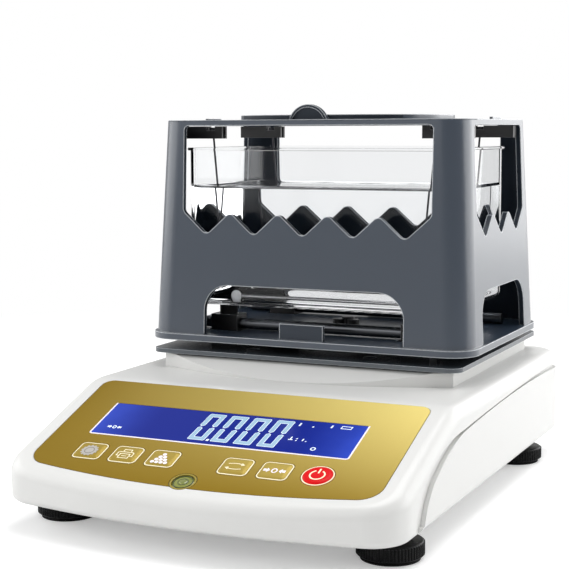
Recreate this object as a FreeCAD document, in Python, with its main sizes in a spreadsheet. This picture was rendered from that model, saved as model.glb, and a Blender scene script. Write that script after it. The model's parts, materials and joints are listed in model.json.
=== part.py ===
import FreeCAD, Part
import math
import os
import Sketcher

# Electronic gold tester: a precision balance with a water tank and a hanging weighing frame.
# Millimetres, +Z up, Z 0 on the table, Y 0 half way along the base, the keys towards -Y.

V = FreeCAD.Vector
doc = FreeCAD.newDocument("gold_tester")
sheet = doc.addObject("Spreadsheet::Sheet", "Sizes")

SIZES = {
    # base housing
    "bodyWidth": 203.0, "bodyBackY": 146.5, "bodyFrontY": -134.5, "frontBulge": 12.0,
    "cornerRadius": 19.0, "groundGap": 13.5, "fasciaTopZ": 31.69, "panelTilt": 20.1,
    "slopeRun": 79.0, "edgeRound": 7.0, "bottomRound": 3.5, "creaseRound": 34.0, "wall": 2.6,
    "seamFootInset": 19.0, "seamKneeInset": 39.7, "seamKneeDrop": 22.2, "seamShoulderInset": 86.7,
    "seamShoulderDrop": 12.3, "seamBackDrop": 6.6, "seamFootRadius": 36.0,
    "seamKneeRadius": 120.0, "seamBackRadius": 3700.0, "seamLowerRadius": 1600.0, "seamGap": 0.7,
    "seamFootGap": 11.0, "seamKneeGap": 5.8, "seamShoulderGap": 1.2, "seamBackGap": 4.2,
    "tongueReach": 2.4, "tongueThickness": 1.2, "rabbetDepth": 0.4,
    # raised platform under the weighing area
    "platformMargin": 18.5, "platformFrontInset": 48.5, "platformBulge": 21.0,
    "platformBackInset": 19.0, "platformRise": 7.2, "facetInset": 4.5, "facetRun": 17.0,
    "hubHoleRadius": 18.0,
    # front panel, keys and display, measured down the slope
    "panelMargin": 12.0, "panelTop": 1.5, "panelFrontInset": 5.62, "panelBulge": 8.0,
    "panelCorner": 11.0, "panelTopCorner": 5.5, "filmThickness": 0.5, "fitGap": 0.3, "moldGap": 0.05,
    "lcdWidth": 135.5, "lcdLength": 28.0, "lcdCentreX": -2.6, "lcdKeyGap": 29.3, "lcdLedge": 2.0,
    "lcdWindowThickness": 2.0, "lcdCorner": 1.2, "lcdModuleGap": 0.7,
    "keyWidth": 15.0, "keyLength": 13.4, "keyCorner": 2.6, "keyRowInset": 12.5, "keyGap": 4.8,
    "firstKeyX": -61.2, "keyGroupGap": 38.0, "powerKeyGap": 20.8, "powerKeyRadius": 7.6,
    "keyFlange": 1.0, "keyTravel": 0.4, "switchBody": 6.2, "switchHeight": 3.2,
    "plungerRadius": 1.55, "displayBoardDepth": 8.2, "boardThickness": 1.6,
    "boardSideReach": 15.25, "boardTopReach": 24.7, "boardKeyReach": 9.0,
    "levelX": -2.8, "levelInset": 4.9, "levelRadius": 5.4, "levelRing": 0.9, "levelDepth": 7.0,
    "levelFloor": 1.0,
    # inside the base
    "bossRadius": 4.0, "screwRadius": 1.5, "screwHeadRadius": 3.0, "smallHeadRadius": 2.7,
    "screwHeadHeight": 1.5, "frontBossX": 70.0, "frontBossInset": 3.5, "bossPortGap": 5.0,
    "backBossInset": 12.5, "mainBoardWidth": 92.0, "mainBoardLength": 58.0, "mainBoardGap": 10.5,
    "mainBoardLift": 6.0, "chipPitch": 2.0, "standoffRadius": 3.0, "standoffInset": 4.5,
    "cellWidth": 24.0, "cellLength": 100.0, "cellHeight": 20.0, "cellEnd": 26.0,
    "cellBaseWidth": 36.0, "cellHoleRadius": 6.5, "cellHoleSpacing": 17.0,
    "cellSlotHeight": 3.25, "bracketThickness": 4.0, "bracketLift": 1.5, "bracketGap": 3.4,
    "hubGap": 4.0, "hubFlangeRadius": 28.0, "hubFlangeThickness": 2.4,
    "batteryWidth": 42.0, "batteryLength": 84.0, "batteryHeight": 24.0, "batteryGap": 14.0,
    "batteryFrontGap": 6.0,
    "socketX": -46.0, "socketLift": 13.5, "socketWidth": 9.0, "socketHeight": 11.0,
    "socketDepth": 12.0, "socketBore": 2.8, "socketPin": 1.0,
    "serialX": 40.0, "serialLift": 16.5, "serialWidth": 17.0, "serialHeight": 9.0,
    "serialLip": 1.2, "serialBlockWidth": 30.0, "serialBlockHeight": 12.0,
    "serialBlockDepth": 6.0, "serialPinRadius": 0.6, "serialPinPitch": 2.6,
    # levelling feet
    "footSideInset": 16.5, "footFrontInset": 33.5, "footBackInset": 45.5, "footRadius": 15.5,
    "padInset": 1.9, "padHeight": 1.6, "wheelGap": 4.9, "studRadius": 4.0, "threadGap": 0.05,
    "nutWall": 1.6, "footBossWall": 2.6, "footBossHeight": 13.0, "studReach": 10.5,
    # dark plate and the tank stand on it
    "weighInset": 91.2, "plateInset": 5.0, "plateReach": 7.3, "plateShift": 5.2, "plateLift": 0.9,
    "plateThickness": 2.3, "plateCorner": 7.0, "plateScrewInset": 22.0, "plateScrewReach": 14.0,
    "plateScrewHead": 3.4,
    "standSideInset": 20.0, "standEndInset": 12.0, "standWidth": 16.0, "standLength": 12.0,
    "standHeight": 17.0, "rodRadius": 3.0, "rodLift": 11.8, "rodReach": 3.0,
    "standPadRadius": 5.0, "standPadHeight": 5.5,
    # clear tank
    "tankWidth": 152.0, "tankLength": 100.0, "tankHeight": 86.5, "tankWall": 2.4,
    "tankCorner": 8.0, "tankFoot": 5.0, "rimWidth": 1.6, "rimHeight": 1.5,
    # weighing frame
    "tankSideGap": 10.9, "tankEndGap": 10.9, "flangeCorner": 15.2, "flangeThickness": 3.6,
    "flangeGap": 4.8, "wallInset": 1.7, "frameWall": 3.0, "frameDraft": 2.6,
    "frameCorner": 13.5, "railHeight": 3.0,
    "peakDrop": 34.0, "sawDepth": 12.6, "sawRound": 3.6, "frontPost": 20.75, "sidePost": 22.3,
    "windowRound": 2.5, "frontArchPost": 34.4, "sideArchPost": 26.0, "archHeight": 27.2,
    "archRound": 14.0, "sillWidth": 25.0, "sillHeight": 8.5, "sillThickness": 2.25,
    "standHoleGap": 2.0,
    "tabRadius": 11.2, "tabDrop": 3.3, "tabThickness": 3.0, "tabRecess": 1.0, "tabLip": 1.6,
    "tabSetback": 5.0,
    "bumpLength": 16.0, "bumpHeight": 1.2, "bumpWidth": 1.8, "bumpSink": 0.4,
    # hangers, basket and tray
    "armEndInset": 12.0, "armTipReach": 7.0, "armWidth": 6.0, "armGap": 4.9, "armHeight": 6.7,
    "armRailGap": 0.3, "armSocket": 1.5, "socketGap": 0.05, "wireInset": 11.0,
    "wireRadius": 0.55, "slotWidth": 2.8, "seatDrop": 2.2, "seatGap": 0.5,
    "beadRadius": 2.1, "beadHeight": 1.6,
    "basketSideGap": 10.0, "basketLift": 18.5, "basketHeight": 9.0,
    "basketWall": 0.8, "basketCorner": 8.0, "meshHole": 2.6, "meshPitch": 8.0,
    "trayWidth": 114.0, "trayGap": 1.0, "trayCorner": 42.0, "trayThickness": 1.4,
    "trayRimHeight": 1.2, "trayRimWidth": 1.6, "ledgeReach": 2.0, "ledgeDepth": 12.0,
    "lobeRadius": 3.4, "lobeReach": 5.2, "lobeHeight": 4.0, "knobHeight": 5.0,
    "knobStudRadius": 2.5,
}


class Term:
    """A size: its value now, and the sheet expression that keeps features tied to it."""

    def __init__(self, value, text):
        self.value = value
        self.text = text

    def join(self, other, sign, flip=False):
        other = other if isinstance(other, Term) else Term(float(other), repr(float(other)))
        left, right = (other, self) if flip else (self, other)
        work = {"+": lambda p, q: p + q, "-": lambda p, q: p - q,
                "*": lambda p, q: p * q, "/": lambda p, q: p / q}
        return Term(work[sign](left.value, right.value), f"({left.text} {sign} {right.text})")

    def __add__(self, other):
        return self.join(other, "+")

    def __radd__(self, other):
        return self.join(other, "+", True)

    def __sub__(self, other):
        return self.join(other, "-")

    def __rsub__(self, other):
        return self.join(other, "-", True)

    def __mul__(self, other):
        return self.join(other, "*")

    def __rmul__(self, other):
        return self.join(other, "*", True)

    def __truediv__(self, other):
        return self.join(other, "/")

    def __rtruediv__(self, other):
        return self.join(other, "/", True)

    def __neg__(self):
        return self.join(-1, "*")

    def __float__(self):
        return self.value


class Store:
    pass


size = Store()
for row, (name, value) in enumerate(SIZES.items(), start=1):
    sheet.set(f"A{row}", name)
    sheet.set(f"B{row}", str(value))
    sheet.setAlias(f"B{row}", name)
    setattr(size, name, Term(value, f"Sizes.{name}"))
doc.recompute()


def cosine(angle):
    return Term(math.cos(math.radians(angle.value)), f"cos({angle.text} * 1 deg)")


def tangent(angle):
    return Term(math.tan(math.radians(angle.value)), f"tan({angle.text} * 1 deg)")


# ---- places and spans that follow from the sizes --------------------------------------------------

zero = Term(0.0, "0")
size.slopeTopY = size.bodyFrontY + size.slopeRun
size.deckZ = size.fasciaTopZ + size.slopeRun * tangent(size.panelTilt)
size.seamFootY = size.bodyFrontY + size.seamFootInset
size.seamKneeY = size.bodyFrontY + size.seamKneeInset
size.seamKneeZ = size.deckZ - size.seamKneeDrop
size.seamShoulderY = size.bodyFrontY + size.seamShoulderInset
size.seamShoulderZ = size.deckZ - size.seamShoulderDrop
size.seamBackZ = size.deckZ - size.seamBackDrop
size.platformWidth = size.bodyWidth - size.platformMargin * 2
size.platformFrontY = size.slopeTopY + size.platformFrontInset
size.platformBackY = size.bodyBackY - size.platformBackInset
size.platformZ = size.deckZ + size.platformRise
size.facetTopY = size.platformFrontY - size.facetInset

size.panelWidth = size.bodyWidth - size.panelMargin * 2
size.panelSideLength = size.slopeRun / cosine(size.panelTilt) - size.panelFrontInset
size.keyRow = size.panelSideLength - size.keyRowInset
size.keyPitch = size.keyWidth + size.keyGap
size.secondKeyGroupX = size.firstKeyX + size.keyPitch * 2 + size.keyGroupGap
size.powerKeyX = size.secondKeyGroupX + size.keyPitch + size.powerKeyGap
size.lcdCentre = size.keyRow - size.lcdKeyGap
size.levelRow = size.panelSideLength + size.panelBulge - size.levelInset
size.displayBoardWidth = size.lcdWidth + size.boardSideReach * 2
size.displayBoardTop = size.lcdCentre - size.boardTopReach
size.displayBoardLength = size.keyRow + size.boardKeyReach - size.displayBoardTop
size.lcdModuleThickness = size.displayBoardDepth - size.wall - size.lcdModuleGap

size.tankPlaceY = size.bodyBackY - size.weighInset
size.plateBottomZ = size.platformZ + size.plateLift
size.plateTopZ = size.plateBottomZ + size.plateThickness
size.standX = size.tankWidth / 2 - size.standSideInset
size.standY = size.tankLength / 2 - size.standEndInset
size.standTopZ = size.plateTopZ + size.standHeight
size.rodZ = size.plateTopZ + size.rodLift
size.rodLength = size.tankWidth + size.rodReach * 2
size.tankBottomZ = size.standTopZ + size.standPadHeight
size.tankTopZ = size.tankBottomZ + size.tankHeight
size.wallWidth = size.tankWidth + (size.rimWidth + size.tankSideGap + size.frameWall) * 2
size.wallLength = size.tankLength + (size.rimWidth + size.tankEndGap + size.frameWall) * 2
size.flangeWidth = size.wallWidth + size.wallInset * 2
size.flangeLength = size.wallLength + size.wallInset * 2
size.plateWidth = size.flangeWidth - size.plateInset * 2
size.plateLength = size.flangeLength + size.plateReach * 2
size.armY = size.tankLength / 2 - size.armEndInset
size.wireX = size.tankWidth / 2 - size.wireInset
size.armTipX = size.wireX - size.armTipReach
size.armBottomZ = size.tankTopZ + size.armGap
size.armTopZ = size.armBottomZ + size.armHeight
size.railBottomZ = size.armTopZ + size.armRailGap
size.frameTopZ = size.railBottomZ + size.railHeight
size.peakZ = size.tankTopZ - size.peakDrop
size.valleyZ = size.peakZ - size.sawDepth
size.basketWidth = size.tankWidth - size.basketSideGap * 2
size.basketLength = (size.armY - size.wireRadius) * 2
size.basketZ = size.tankBottomZ + size.basketLift


def bind(obj, path, term):
    obj.setExpression(path, term.text if isinstance(term, Term) else repr(float(term)))


def place(obj, x=0, y=0, z=0, axis=None, angle=None):
    if axis is not None:
        obj.Placement = FreeCAD.Placement(V(0, 0, 0), FreeCAD.Rotation(V(*axis), float(angle)))
    for letter, term in zip("xyz", (x, y, z)):
        bind(obj, f"Placement.Base.{letter}", term)
    return obj


# ---- plain shapes -------------------------------------------------------------------------------

def box(name, low, high):
    made = doc.addObject("Part::Box", name)
    for key, a, b in zip(("Length", "Width", "Height"), low, high):
        bind(made, key, b - a)
    return place(made, *low)


def middleBox(name, centre, spans):
    low = [c - s / 2 for c, s in zip(centre, spans)]
    return box(name, low, [a + s for a, s in zip(low, spans)])


def cylinder(name, radius, base, length, axis=None, angle=None):
    made = doc.addObject("Part::Cylinder", name)
    bind(made, "Radius", radius)
    bind(made, "Height", length)
    return place(made, *base, axis, angle)


def join(name, pieces):
    if len(pieces) == 1:
        return pieces[0]
    made = doc.addObject("Part::MultiFuse", name)
    made.Shapes = pieces
    return made


def cut(name, base, tool):
    made = doc.addObject("Part::Cut", name)
    made.Base = base
    made.Tool = tool
    return made


def common(name, pieces):
    made = doc.addObject("Part::MultiCommon", name)
    made.Shapes = pieces
    return made


def group(name, pieces):
    made = doc.addObject("Part::Compound", name)
    made.Links = pieces
    return made


# ---- sketched shapes ----------------------------------------------------------------------------

def newBody(name):
    return doc.addObject("PartDesign::Body", name)


def sketch(body, name, role, corners, lift=0):
    """A closed outline; a corner (x, y) starts a line, and (x, y, radius, side) starts an arc."""
    made = body.newObject("Sketcher::SketchObject", name)
    plane = [feature for feature in body.Origin.OriginFeatures if feature.Role == role][0]
    made.AttachmentSupport = (plane, [""])
    made.MapMode = "FlatFace"
    bind(made, "AttachmentOffset.Base.z", lift)
    points = [V(float(corner[0]), float(corner[1]), 0) for corner in corners]
    ends = []
    for index, corner in enumerate(corners):
        start, end = points[index], points[(index + 1) % len(points)]
        if len(corner) == 2:
            made.addGeometry(Part.LineSegment(start, end))
        else:
            chord = end - start
            radius = float(corner[2])
            rise = radius - math.sqrt(radius ** 2 - (chord.Length / 2) ** 2)
            side = V(chord.y, -chord.x, 0).normalize() * corner[3]
            made.addGeometry(Part.Arc(start, (start + end) / 2 + side * rise, end))
        first = made.getPoint(index, 1)
        ends.append((1, 2) if (first - start).Length < 1e-6 else (2, 1))
    for index, corner in enumerate(corners):
        following = (index + 1) % len(corners)
        made.addConstraint(Sketcher.Constraint(
            "Coincident", index, ends[index][1], following, ends[following][0]))
        for kind, value in (("DistanceX", corner[0]), ("DistanceY", corner[1])):
            number = made.addConstraint(Sketcher.Constraint(
                kind, -1, 1, index, ends[index][0], float(value)))
            made.renameConstraint(number, f"{kind}{index}")
            bind(made, f"Constraints.{kind}{index}", value)
        if len(corner) > 2:
            number = made.addConstraint(Sketcher.Constraint("Radius", index, float(corner[2])))
            made.renameConstraint(number, f"Radius{index}")
            bind(made, f"Constraints.Radius{index}", corner[2])
    return made


def pad(body, name, profile, length, both=False, draft=None):
    made = body.newObject("PartDesign::Pad", name)
    made.Profile = profile
    bind(made, "Length", length)
    made.SideType = "Symmetric" if both else "One side"
    if draft is not None:
        bind(made, "TaperAngle", -draft)
    doc.recompute()
    return made


def pocket(body, name, profile, length, both=False):
    before = body.Shape.Volume
    made = body.newObject("PartDesign::Pocket", name)
    made.Profile = profile
    bind(made, "Length", length)
    made.SideType = "Symmetric" if both else "One side"
    doc.recompute()
    if not made.Shape.Volume < before - 1e-3:
        raise ValueError(f"{name} cuts nothing")
    return made


def soften(body, name, radius, chosen):
    """Round the edges of the body's last feature that the function picks."""
    base = body.Tip
    names = [f"Edge{i}" for i, edge in enumerate(base.Shape.Edges, start=1) if chosen(edge)]
    made = body.newObject("PartDesign::Fillet", name)
    made.Base = (base, names)
    bind(made, "Radius", radius)
    doc.recompute()
    return made


def runsAlong(axis, spread=0.12):
    """Picks straight edges that run along an axis, or nearly so on a drafted wall."""
    def test(edge):
        if len(edge.Vertexes) < 2:
            return False
        line = edge.Vertexes[-1].Point - edge.Vertexes[0].Point
        return line.Length > 1e-3 and abs(line.normalize().dot(V(*axis))) > 1 - spread ** 2
    return test


def lengthwise(axis, where=lambda middle: True):
    along = runsAlong(axis)
    return lambda edge: along(edge) and where(edge.CenterOfMass)


def rectangle(width, length, x=0, y=0):
    left, right = x - width / 2, x + width / 2
    low, high = y - length / 2, y + length / 2
    return [(left, low), (right, low), (right, high), (left, high)]


def slab(name, width, length, bottom, height, corner, x=0, y=0, draft=None):
    """A block with rounded upright corners; with a draft it narrows upwards."""
    body = newBody(name)
    profile = sketch(body, name + "_outline", "XY_Plane", rectangle(width, length, x, y), bottom)
    pad(body, name + "_pad", profile, height, draft=draft)
    soften(body, name + "_corners", corner, runsAlong((0, 0, 1)))
    return body


def prism(name, role, corners, length, lift=0, radius=None, where=None):
    """A sketched outline carried both ways from its plane, its corners rounded if asked."""
    body = newBody(name)
    pad(body, name + "_pad", sketch(body, name + "_outline", role, corners, lift), length, both=True)
    if radius is not None:
        axis = {"XZ_Plane": (0, 1, 0), "YZ_Plane": (1, 0, 0), "XY_Plane": (0, 0, 1)}[role]
        soften(body, name + "_rounds", radius, lengthwise(axis, where or (lambda middle: True)))
    return body


def arcRadius(halfChord, bulge):
    return (halfChord * halfChord + bulge * bulge) / (2 * bulge)


# ---- the panel's own frame: x across, up the slope, and out of it ---------------------------------

def onPanel(obj):
    place(obj, 0, size.slopeTopY, size.deckZ, (1, 0, 0), 0)
    bind(obj, "Placement.Rotation.Angle", size.panelTilt)
    return obj


keyPlaces = {
    "key_settings": size.firstKeyX,
    "key_print": size.firstKeyX + size.keyPitch,
    "key_enter": size.firstKeyX + size.keyPitch * 2,
    "key_mode": size.secondKeyGroupX,
    "key_zero": size.secondKeyGroupX + size.keyPitch,
}


# ---- housing ------------------------------------------------------------------------------------

def planOutline(inset):
    half = size.bodyWidth / 2 - inset
    front = size.bodyFrontY + inset
    back = size.bodyBackY - inset
    return [(half, back), (-half, back), (-half, front, arcRadius(half, size.frontBulge), 1),
            (half, front)]


def planBlock(name, inset, bottom, height):
    """A block with the base's plan drawn in by the inset."""
    body = newBody(name)
    profile = sketch(body, name + "_plan", "XY_Plane", planOutline(inset), bottom)
    pad(body, name + "_pad", profile, height)
    soften(body, name + "_corners", size.cornerRadius - inset, runsAlong((0, 0, 1)))
    return body


def housingForm(name, inset, bottom):
    """The closed outer form of the base, or the same form drawn in by a wall."""
    slope = tangent(size.panelTilt)
    top = size.deckZ - inset
    crease = size.slopeTopY + inset * tangent(size.panelTilt / 2)
    frontReach = size.bodyFrontY - size.frontBulge * 2
    body = planBlock(name, inset, bottom, top - bottom)
    roof = size.platformZ
    above = [(crease, top), (frontReach, top + (frontReach - crease) * slope), (frontReach, roof),
             (crease, roof)]
    pocket(body, name + "_slope", sketch(body, name + "_above", "YZ_Plane", above),
           size.bodyWidth * 2, both=True)

    def isCrease(edge):
        middle = edge.CenterOfMass
        flat = abs(middle.y - float(crease)) < 0.01 and abs(middle.z - float(top)) < 0.01
        return flat and runsAlong((1, 0, 0))(edge)

    soften(body, name + "_crease", size.creaseRound, isCrease)

    def isCornerArc(middle):
        outside = abs(middle.x) > float(size.bodyWidth / 2 - inset - size.cornerRadius)
        behind = middle.y > float(size.bodyBackY - size.cornerRadius)
        return outside and (behind or middle.y < float(size.bodyFrontY + size.cornerRadius))

    def isRim(edge):
        bounds = edge.BoundBox
        if bounds.XLength + bounds.YLength < 1e-3 or bounds.ZMin < float(bottom) + 1:
            return False
        middle = edge.valueAt((edge.FirstParameter + edge.LastParameter) / 2)
        reach = max(abs(middle.x) - float(size.bodyWidth / 2 - inset),
                    middle.y - float(size.bodyBackY - inset))
        front = middle.y < float(size.bodyFrontY + inset) + 0.5
        return reach > -0.01 or front or isCornerArc(middle)

    soften(body, name + "_rim", size.edgeRound - inset, isRim)
    return body


def seamRegion(name, above, seam, extra=0):
    """Everything above or below the swooping side seam, its points moved down and back by gaps."""
    gaps, backRadius = seam
    footGap, kneeGap, shoulderGap, backGap = [gap + extra for gap in gaps]
    foot = size.groundGap - size.wall * 2
    reach = size.bodyBackY + size.wall
    curve = [(size.seamFootY + footGap, foot, size.seamFootRadius, -1),
             (size.seamKneeY + kneeGap, size.seamKneeZ - kneeGap, size.seamKneeRadius, -1),
             (size.seamShoulderY + shoulderGap, size.seamShoulderZ - shoulderGap, backRadius, -1),
             (reach, size.seamBackZ - backGap)]
    if above:
        frontReach = size.bodyFrontY - size.frontBulge - size.wall
        roof = size.platformZ + size.wall
        corners = curve + [(reach, roof), (frontReach, roof), (frontReach, foot)]
    else:
        corners = curve + [(reach, foot)]
    return prism(name, "YZ_Plane", corners, size.bodyWidth + size.wall * 2)


def platformForm(name):
    body = newBody(name)
    half = size.platformWidth / 2
    outline = [(half, size.platformBackY), (-half, size.platformBackY),
               (-half, size.platformFrontY, arcRadius(half, size.platformBulge), 1),
               (half, size.platformFrontY)]
    foot = size.deckZ - size.wall / 2
    pad(body, name + "_pad", sketch(body, name + "_plan", "XY_Plane", outline, foot),
        size.platformZ - foot)
    rise = size.platformZ - size.deckZ
    facet = [(size.facetTopY, size.platformZ),
             (size.facetTopY - size.facetRun, size.platformZ - rise),
             (size.facetTopY - size.facetRun * 2, size.platformZ - rise),
             (size.facetTopY - size.facetRun * 2, size.platformZ + rise),
             (size.facetTopY, size.platformZ + rise)]
    pocket(body, name + "_facet", sketch(body, name + "_wedge", "YZ_Plane", facet),
           size.bodyWidth * 2, both=True)
    return body


floorTopZ = size.groundGap + size.wall
outer = housingForm("outer_form", zero, size.groundGap)


def isFootEdge(edge):
    return edge.BoundBox.ZMax < float(size.groundGap) + 0.01


soften(outer, "outer_form_foot", size.bottomRound, isFootEdge)
inner = housingForm("inner_form", size.wall, size.groundGap - size.wall)
skirt = cut("skirt", outer, inner)
platform = platformForm("platform_form")
platformHollow = box("platform_hollow",
                     (size.wall - size.platformWidth / 2, size.platformFrontY + size.wall,
                      size.deckZ - size.wall * 2),
                     (size.platformWidth / 2 - size.wall, size.platformBackY - size.wall,
                      size.platformZ - size.wall))

backBossX = size.serialX + size.serialBlockWidth / 2 + size.bossPortGap
bossPlaces = [(side * x, y, front) for x, y, front in (
    (size.frontBossX, size.bodyFrontY + size.frontBossInset, True),
    (backBossX, size.bodyBackY - size.backBossInset, False)) for side in (-1, 1)]


def slopeHeight(y):
    """The height of the panel slope's top surface at y."""
    return size.deckZ + (y - size.slopeTopY) * tangent(size.panelTilt)


def coverBosses():
    pieces = []
    for number, (x, y, front) in enumerate(bossPlaces):
        top = slopeHeight(y) - size.wall if front else size.deckZ - size.wall / 2
        pieces.append(cylinder(f"cover_boss{number}", size.bossRadius, (x, y, floorTopZ),
                               top - floorTopZ))
    return pieces


def coverScrews(name, radiusGap, headGap):
    """Screws up through the floor into the bosses, or the holes for them."""
    pieces = []
    for number, (x, y, front) in enumerate(bossPlaces):
        shank = cylinder(f"{name}_shank{number}", size.screwRadius + radiusGap,
                         (x, y, size.groundGap), size.wall + size.bossRadius * 2 + headGap)
        head = cylinder(f"{name}_head{number}", size.screwHeadRadius + radiusGap,
                        (x, y, size.groundGap), size.screwHeadHeight)
        pieces.append(join(f"{name}_one{number}", [shank, head]))
    return pieces


def roundedHole(name, width, length, corner, x, y, low, high):
    return slab(name, width, length, low, high - low, corner, x, y)


def panelHoles(name, gap, low, high):
    """Openings for the keys and the level, in the panel's frame."""
    holes = []
    for key, x in keyPlaces.items():
        holes.append(roundedHole(f"{name}_{key}", size.keyWidth + gap * 2, size.keyLength + gap * 2,
                                 size.keyCorner + gap, x, -size.keyRow, low, high))
    holes.append(cylinder(f"{name}_power", size.powerKeyRadius + gap,
                          (size.powerKeyX, -size.keyRow, low), high - low))
    holes.append(cylinder(f"{name}_level", size.levelRadius + size.levelRing + gap,
                          (size.levelX, -size.levelRow, low), high - low))
    return holes


def panelFilm(name, grow, low, high):
    """The front film's outline: straight sides and a bowed lower edge."""
    half = size.panelWidth / 2 + grow
    top = grow - size.panelTop
    bottom = -size.panelSideLength - grow
    body = newBody(name)
    outline = [(half, top), (-half, top), (-half, bottom, arcRadius(half, size.panelBulge), 1),
               (half, bottom)]
    pad(body, name + "_pad", sketch(body, name + "_outline", "XY_Plane", outline, low), high - low)
    halfWay = float(bottom) / 2
    soften(body, name + "_corners", size.panelCorner + grow,
           lengthwise((0, 0, 1), lambda middle: middle.y < halfWay))
    soften(body, name + "_top_corners", size.panelTopCorner + grow,
           lengthwise((0, 0, 1), lambda middle: middle.y > halfWay))
    return body


clear = size.edgeRound
lcdTop = roundedHole("lcd_pocket", size.lcdWidth + size.fitGap * 2, size.lcdLength + size.fitGap * 2,
                     size.lcdCorner + size.fitGap, size.lcdCentreX, -size.lcdCentre,
                     -size.lcdWindowThickness, clear)
lcdThrough = middleBox("lcd_through", (size.lcdCentreX, -size.lcdCentre, zero),
                       (size.lcdWidth - size.lcdLedge * 2, size.lcdLength - size.lcdLedge * 2,
                        clear * 2))
filmRecess = panelFilm("film_recess", size.fitGap, -size.filmThickness, clear)
panelCutters = onPanel(join("panel_cutters", [filmRecess, lcdTop, lcdThrough]
                            + panelHoles("cover_hole", size.fitGap, -clear, clear)))

displayBosses = []
displayScrews = []
displayHoles = []
boardTop = -size.displayBoardDepth
for number, (sideX, sideY) in enumerate(((-1, 0), (1, 0), (-1, 1), (1, 1))):
    bossX = sideX * (size.displayBoardWidth / 2 - size.standoffInset)
    bossY = -size.displayBoardTop - size.standoffInset - sideY * (
        size.displayBoardLength - size.standoffInset * 2)
    displayBosses.append(cylinder(f"display_boss{number}", size.standoffRadius,
                                  (bossX, bossY, boardTop),
                                  size.displayBoardDepth - size.wall / 2 - size.filmThickness))
    displayHoles.append(cylinder(f"display_hole{number}", size.screwRadius + size.moldGap,
                                 (bossX, bossY, boardTop - size.boardThickness * 2),
                                 size.boardThickness * 2 + size.displayBoardDepth / 2))
    shank = cylinder(f"display_shank{number}", size.screwRadius,
                     (bossX, bossY, boardTop - size.boardThickness),
                     size.boardThickness + size.displayBoardDepth / 2 - size.fitGap)
    head = cylinder(f"display_head{number}", size.smallHeadRadius,
                    (bossX, bossY, boardTop - size.boardThickness - size.screwHeadHeight),
                    size.screwHeadHeight)
    displayScrews.append(join(f"display_screw{number}", [shank, head]))

upperSeam = ([zero, zero, zero, zero], size.seamBackRadius)
lowerSeam = ([size.seamFootGap, size.seamKneeGap, size.seamShoulderGap, size.seamBackGap],
             size.seamLowerRadius)
core = planBlock("core_block", size.wall + size.tongueThickness, size.groundGap - size.wall,
                 size.platformZ)
rabbet = cut("rabbet", common("rabbet_zone", [
    housingForm("rabbet_form", size.wall - size.rabbetDepth - size.moldGap,
                size.groundGap - size.wall),
    seamRegion("rabbet_band", False, upperSeam, -size.tongueReach - size.fitGap)]), core)
coverShell = cut("cover_shell", common("cover_blank", [
    skirt, seamRegion("seam_above", True, upperSeam)]), rabbet)
coverHoles = join("cover_screw_holes", coverScrews("cover_hole_screw", size.moldGap, size.fitGap))
hubHole = cylinder("hub_hole", size.hubHoleRadius, (0, size.tankPlaceY, size.deckZ - clear),
                   size.plateTopZ)
plateScrewX = size.standX - size.plateScrewInset
plateScrewY = size.standY + size.plateScrewReach
plateScrewPlaces = [(i * plateScrewX, size.tankPlaceY + j * plateScrewY)
                    for i in (-1, 1) for j in (-1, 1)]


def plateScrews(name, gap):
    """Screws down through the dark plate into the platform, or the holes for them."""
    pieces = []
    bottom = size.platformZ - size.wall * 3
    for number, (x, y) in enumerate(plateScrewPlaces):
        shank = cylinder(f"{name}_shank{number}", size.screwRadius + gap, (x, y, bottom - gap),
                         size.plateTopZ - bottom + gap)
        head = cylinder(f"{name}_head{number}", size.plateScrewHead + gap,
                        (x, y, size.plateTopZ - size.screwHeadHeight), size.screwHeadHeight)
        pieces.append(join(f"{name}_one{number}", [shank, head]))
    return pieces


plateBosses = [cylinder(f"plate_boss{number}", size.bossRadius,
                        (x, y, size.platformZ - size.wall * 3), size.wall * 2.5)
               for number, (x, y) in enumerate(plateScrewPlaces)]
platformShell = cut("platform_shell", platform, platformHollow)
deckOpening = box("deck_opening",
                  (size.wall * 2 - size.platformWidth / 2, size.platformFrontY + size.wall * 2,
                   size.deckZ - size.wall * 2),
                  (size.platformWidth / 2 - size.wall * 2, size.platformBackY - size.wall * 2,
                   size.platformZ - size.wall))
deckOpened = cut("deck_opened", coverShell, deckOpening)
upperBlank = join("upper_blank", [deckOpened, platformShell] + coverBosses() + plateBosses)
plateHoles = join("plate_screw_holes", plateScrews("plate_hole", size.moldGap))
upperCut = cut("upper_cut", upperBlank, join("upper_tools", [panelCutters, coverHoles, hubHole,
                                                             plateHoles]))
panelBosses = onPanel(cut("panel_bosses", group("panel_boss_set", displayBosses),
                          group("panel_boss_holes", displayHoles)))
topCover = join("top_cover", [upperCut, panelBosses])

# the lower cover: side walls under the seam and one floor that also closes the front
floorFront = planBlock("floor_front", size.wall + size.seamGap, size.groundGap, size.wall)
floorBack = common("floor_back", [outer, box(
    "floor_zone", (-size.bodyWidth, size.seamFootY + size.seamFootGap, size.groundGap),
    (size.bodyWidth, size.bodyBackY + size.wall, floorTopZ))])
lowerWalls = common("lower_walls", [skirt, seamRegion("seam_below", False, lowerSeam)])
# a tongue on the lower cover laps behind the upper one and closes the styled groove from inside
tongueShell = cut("tongue_shell", housingForm("tongue_outer", size.wall - size.rabbetDepth,
                                              size.groundGap), core)
tongue = common("tongue", [
    tongueShell, seamRegion("tongue_top", False, upperSeam, -size.tongueReach),
    seamRegion("tongue_bottom", True, lowerSeam, size.tongueReach)])

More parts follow.
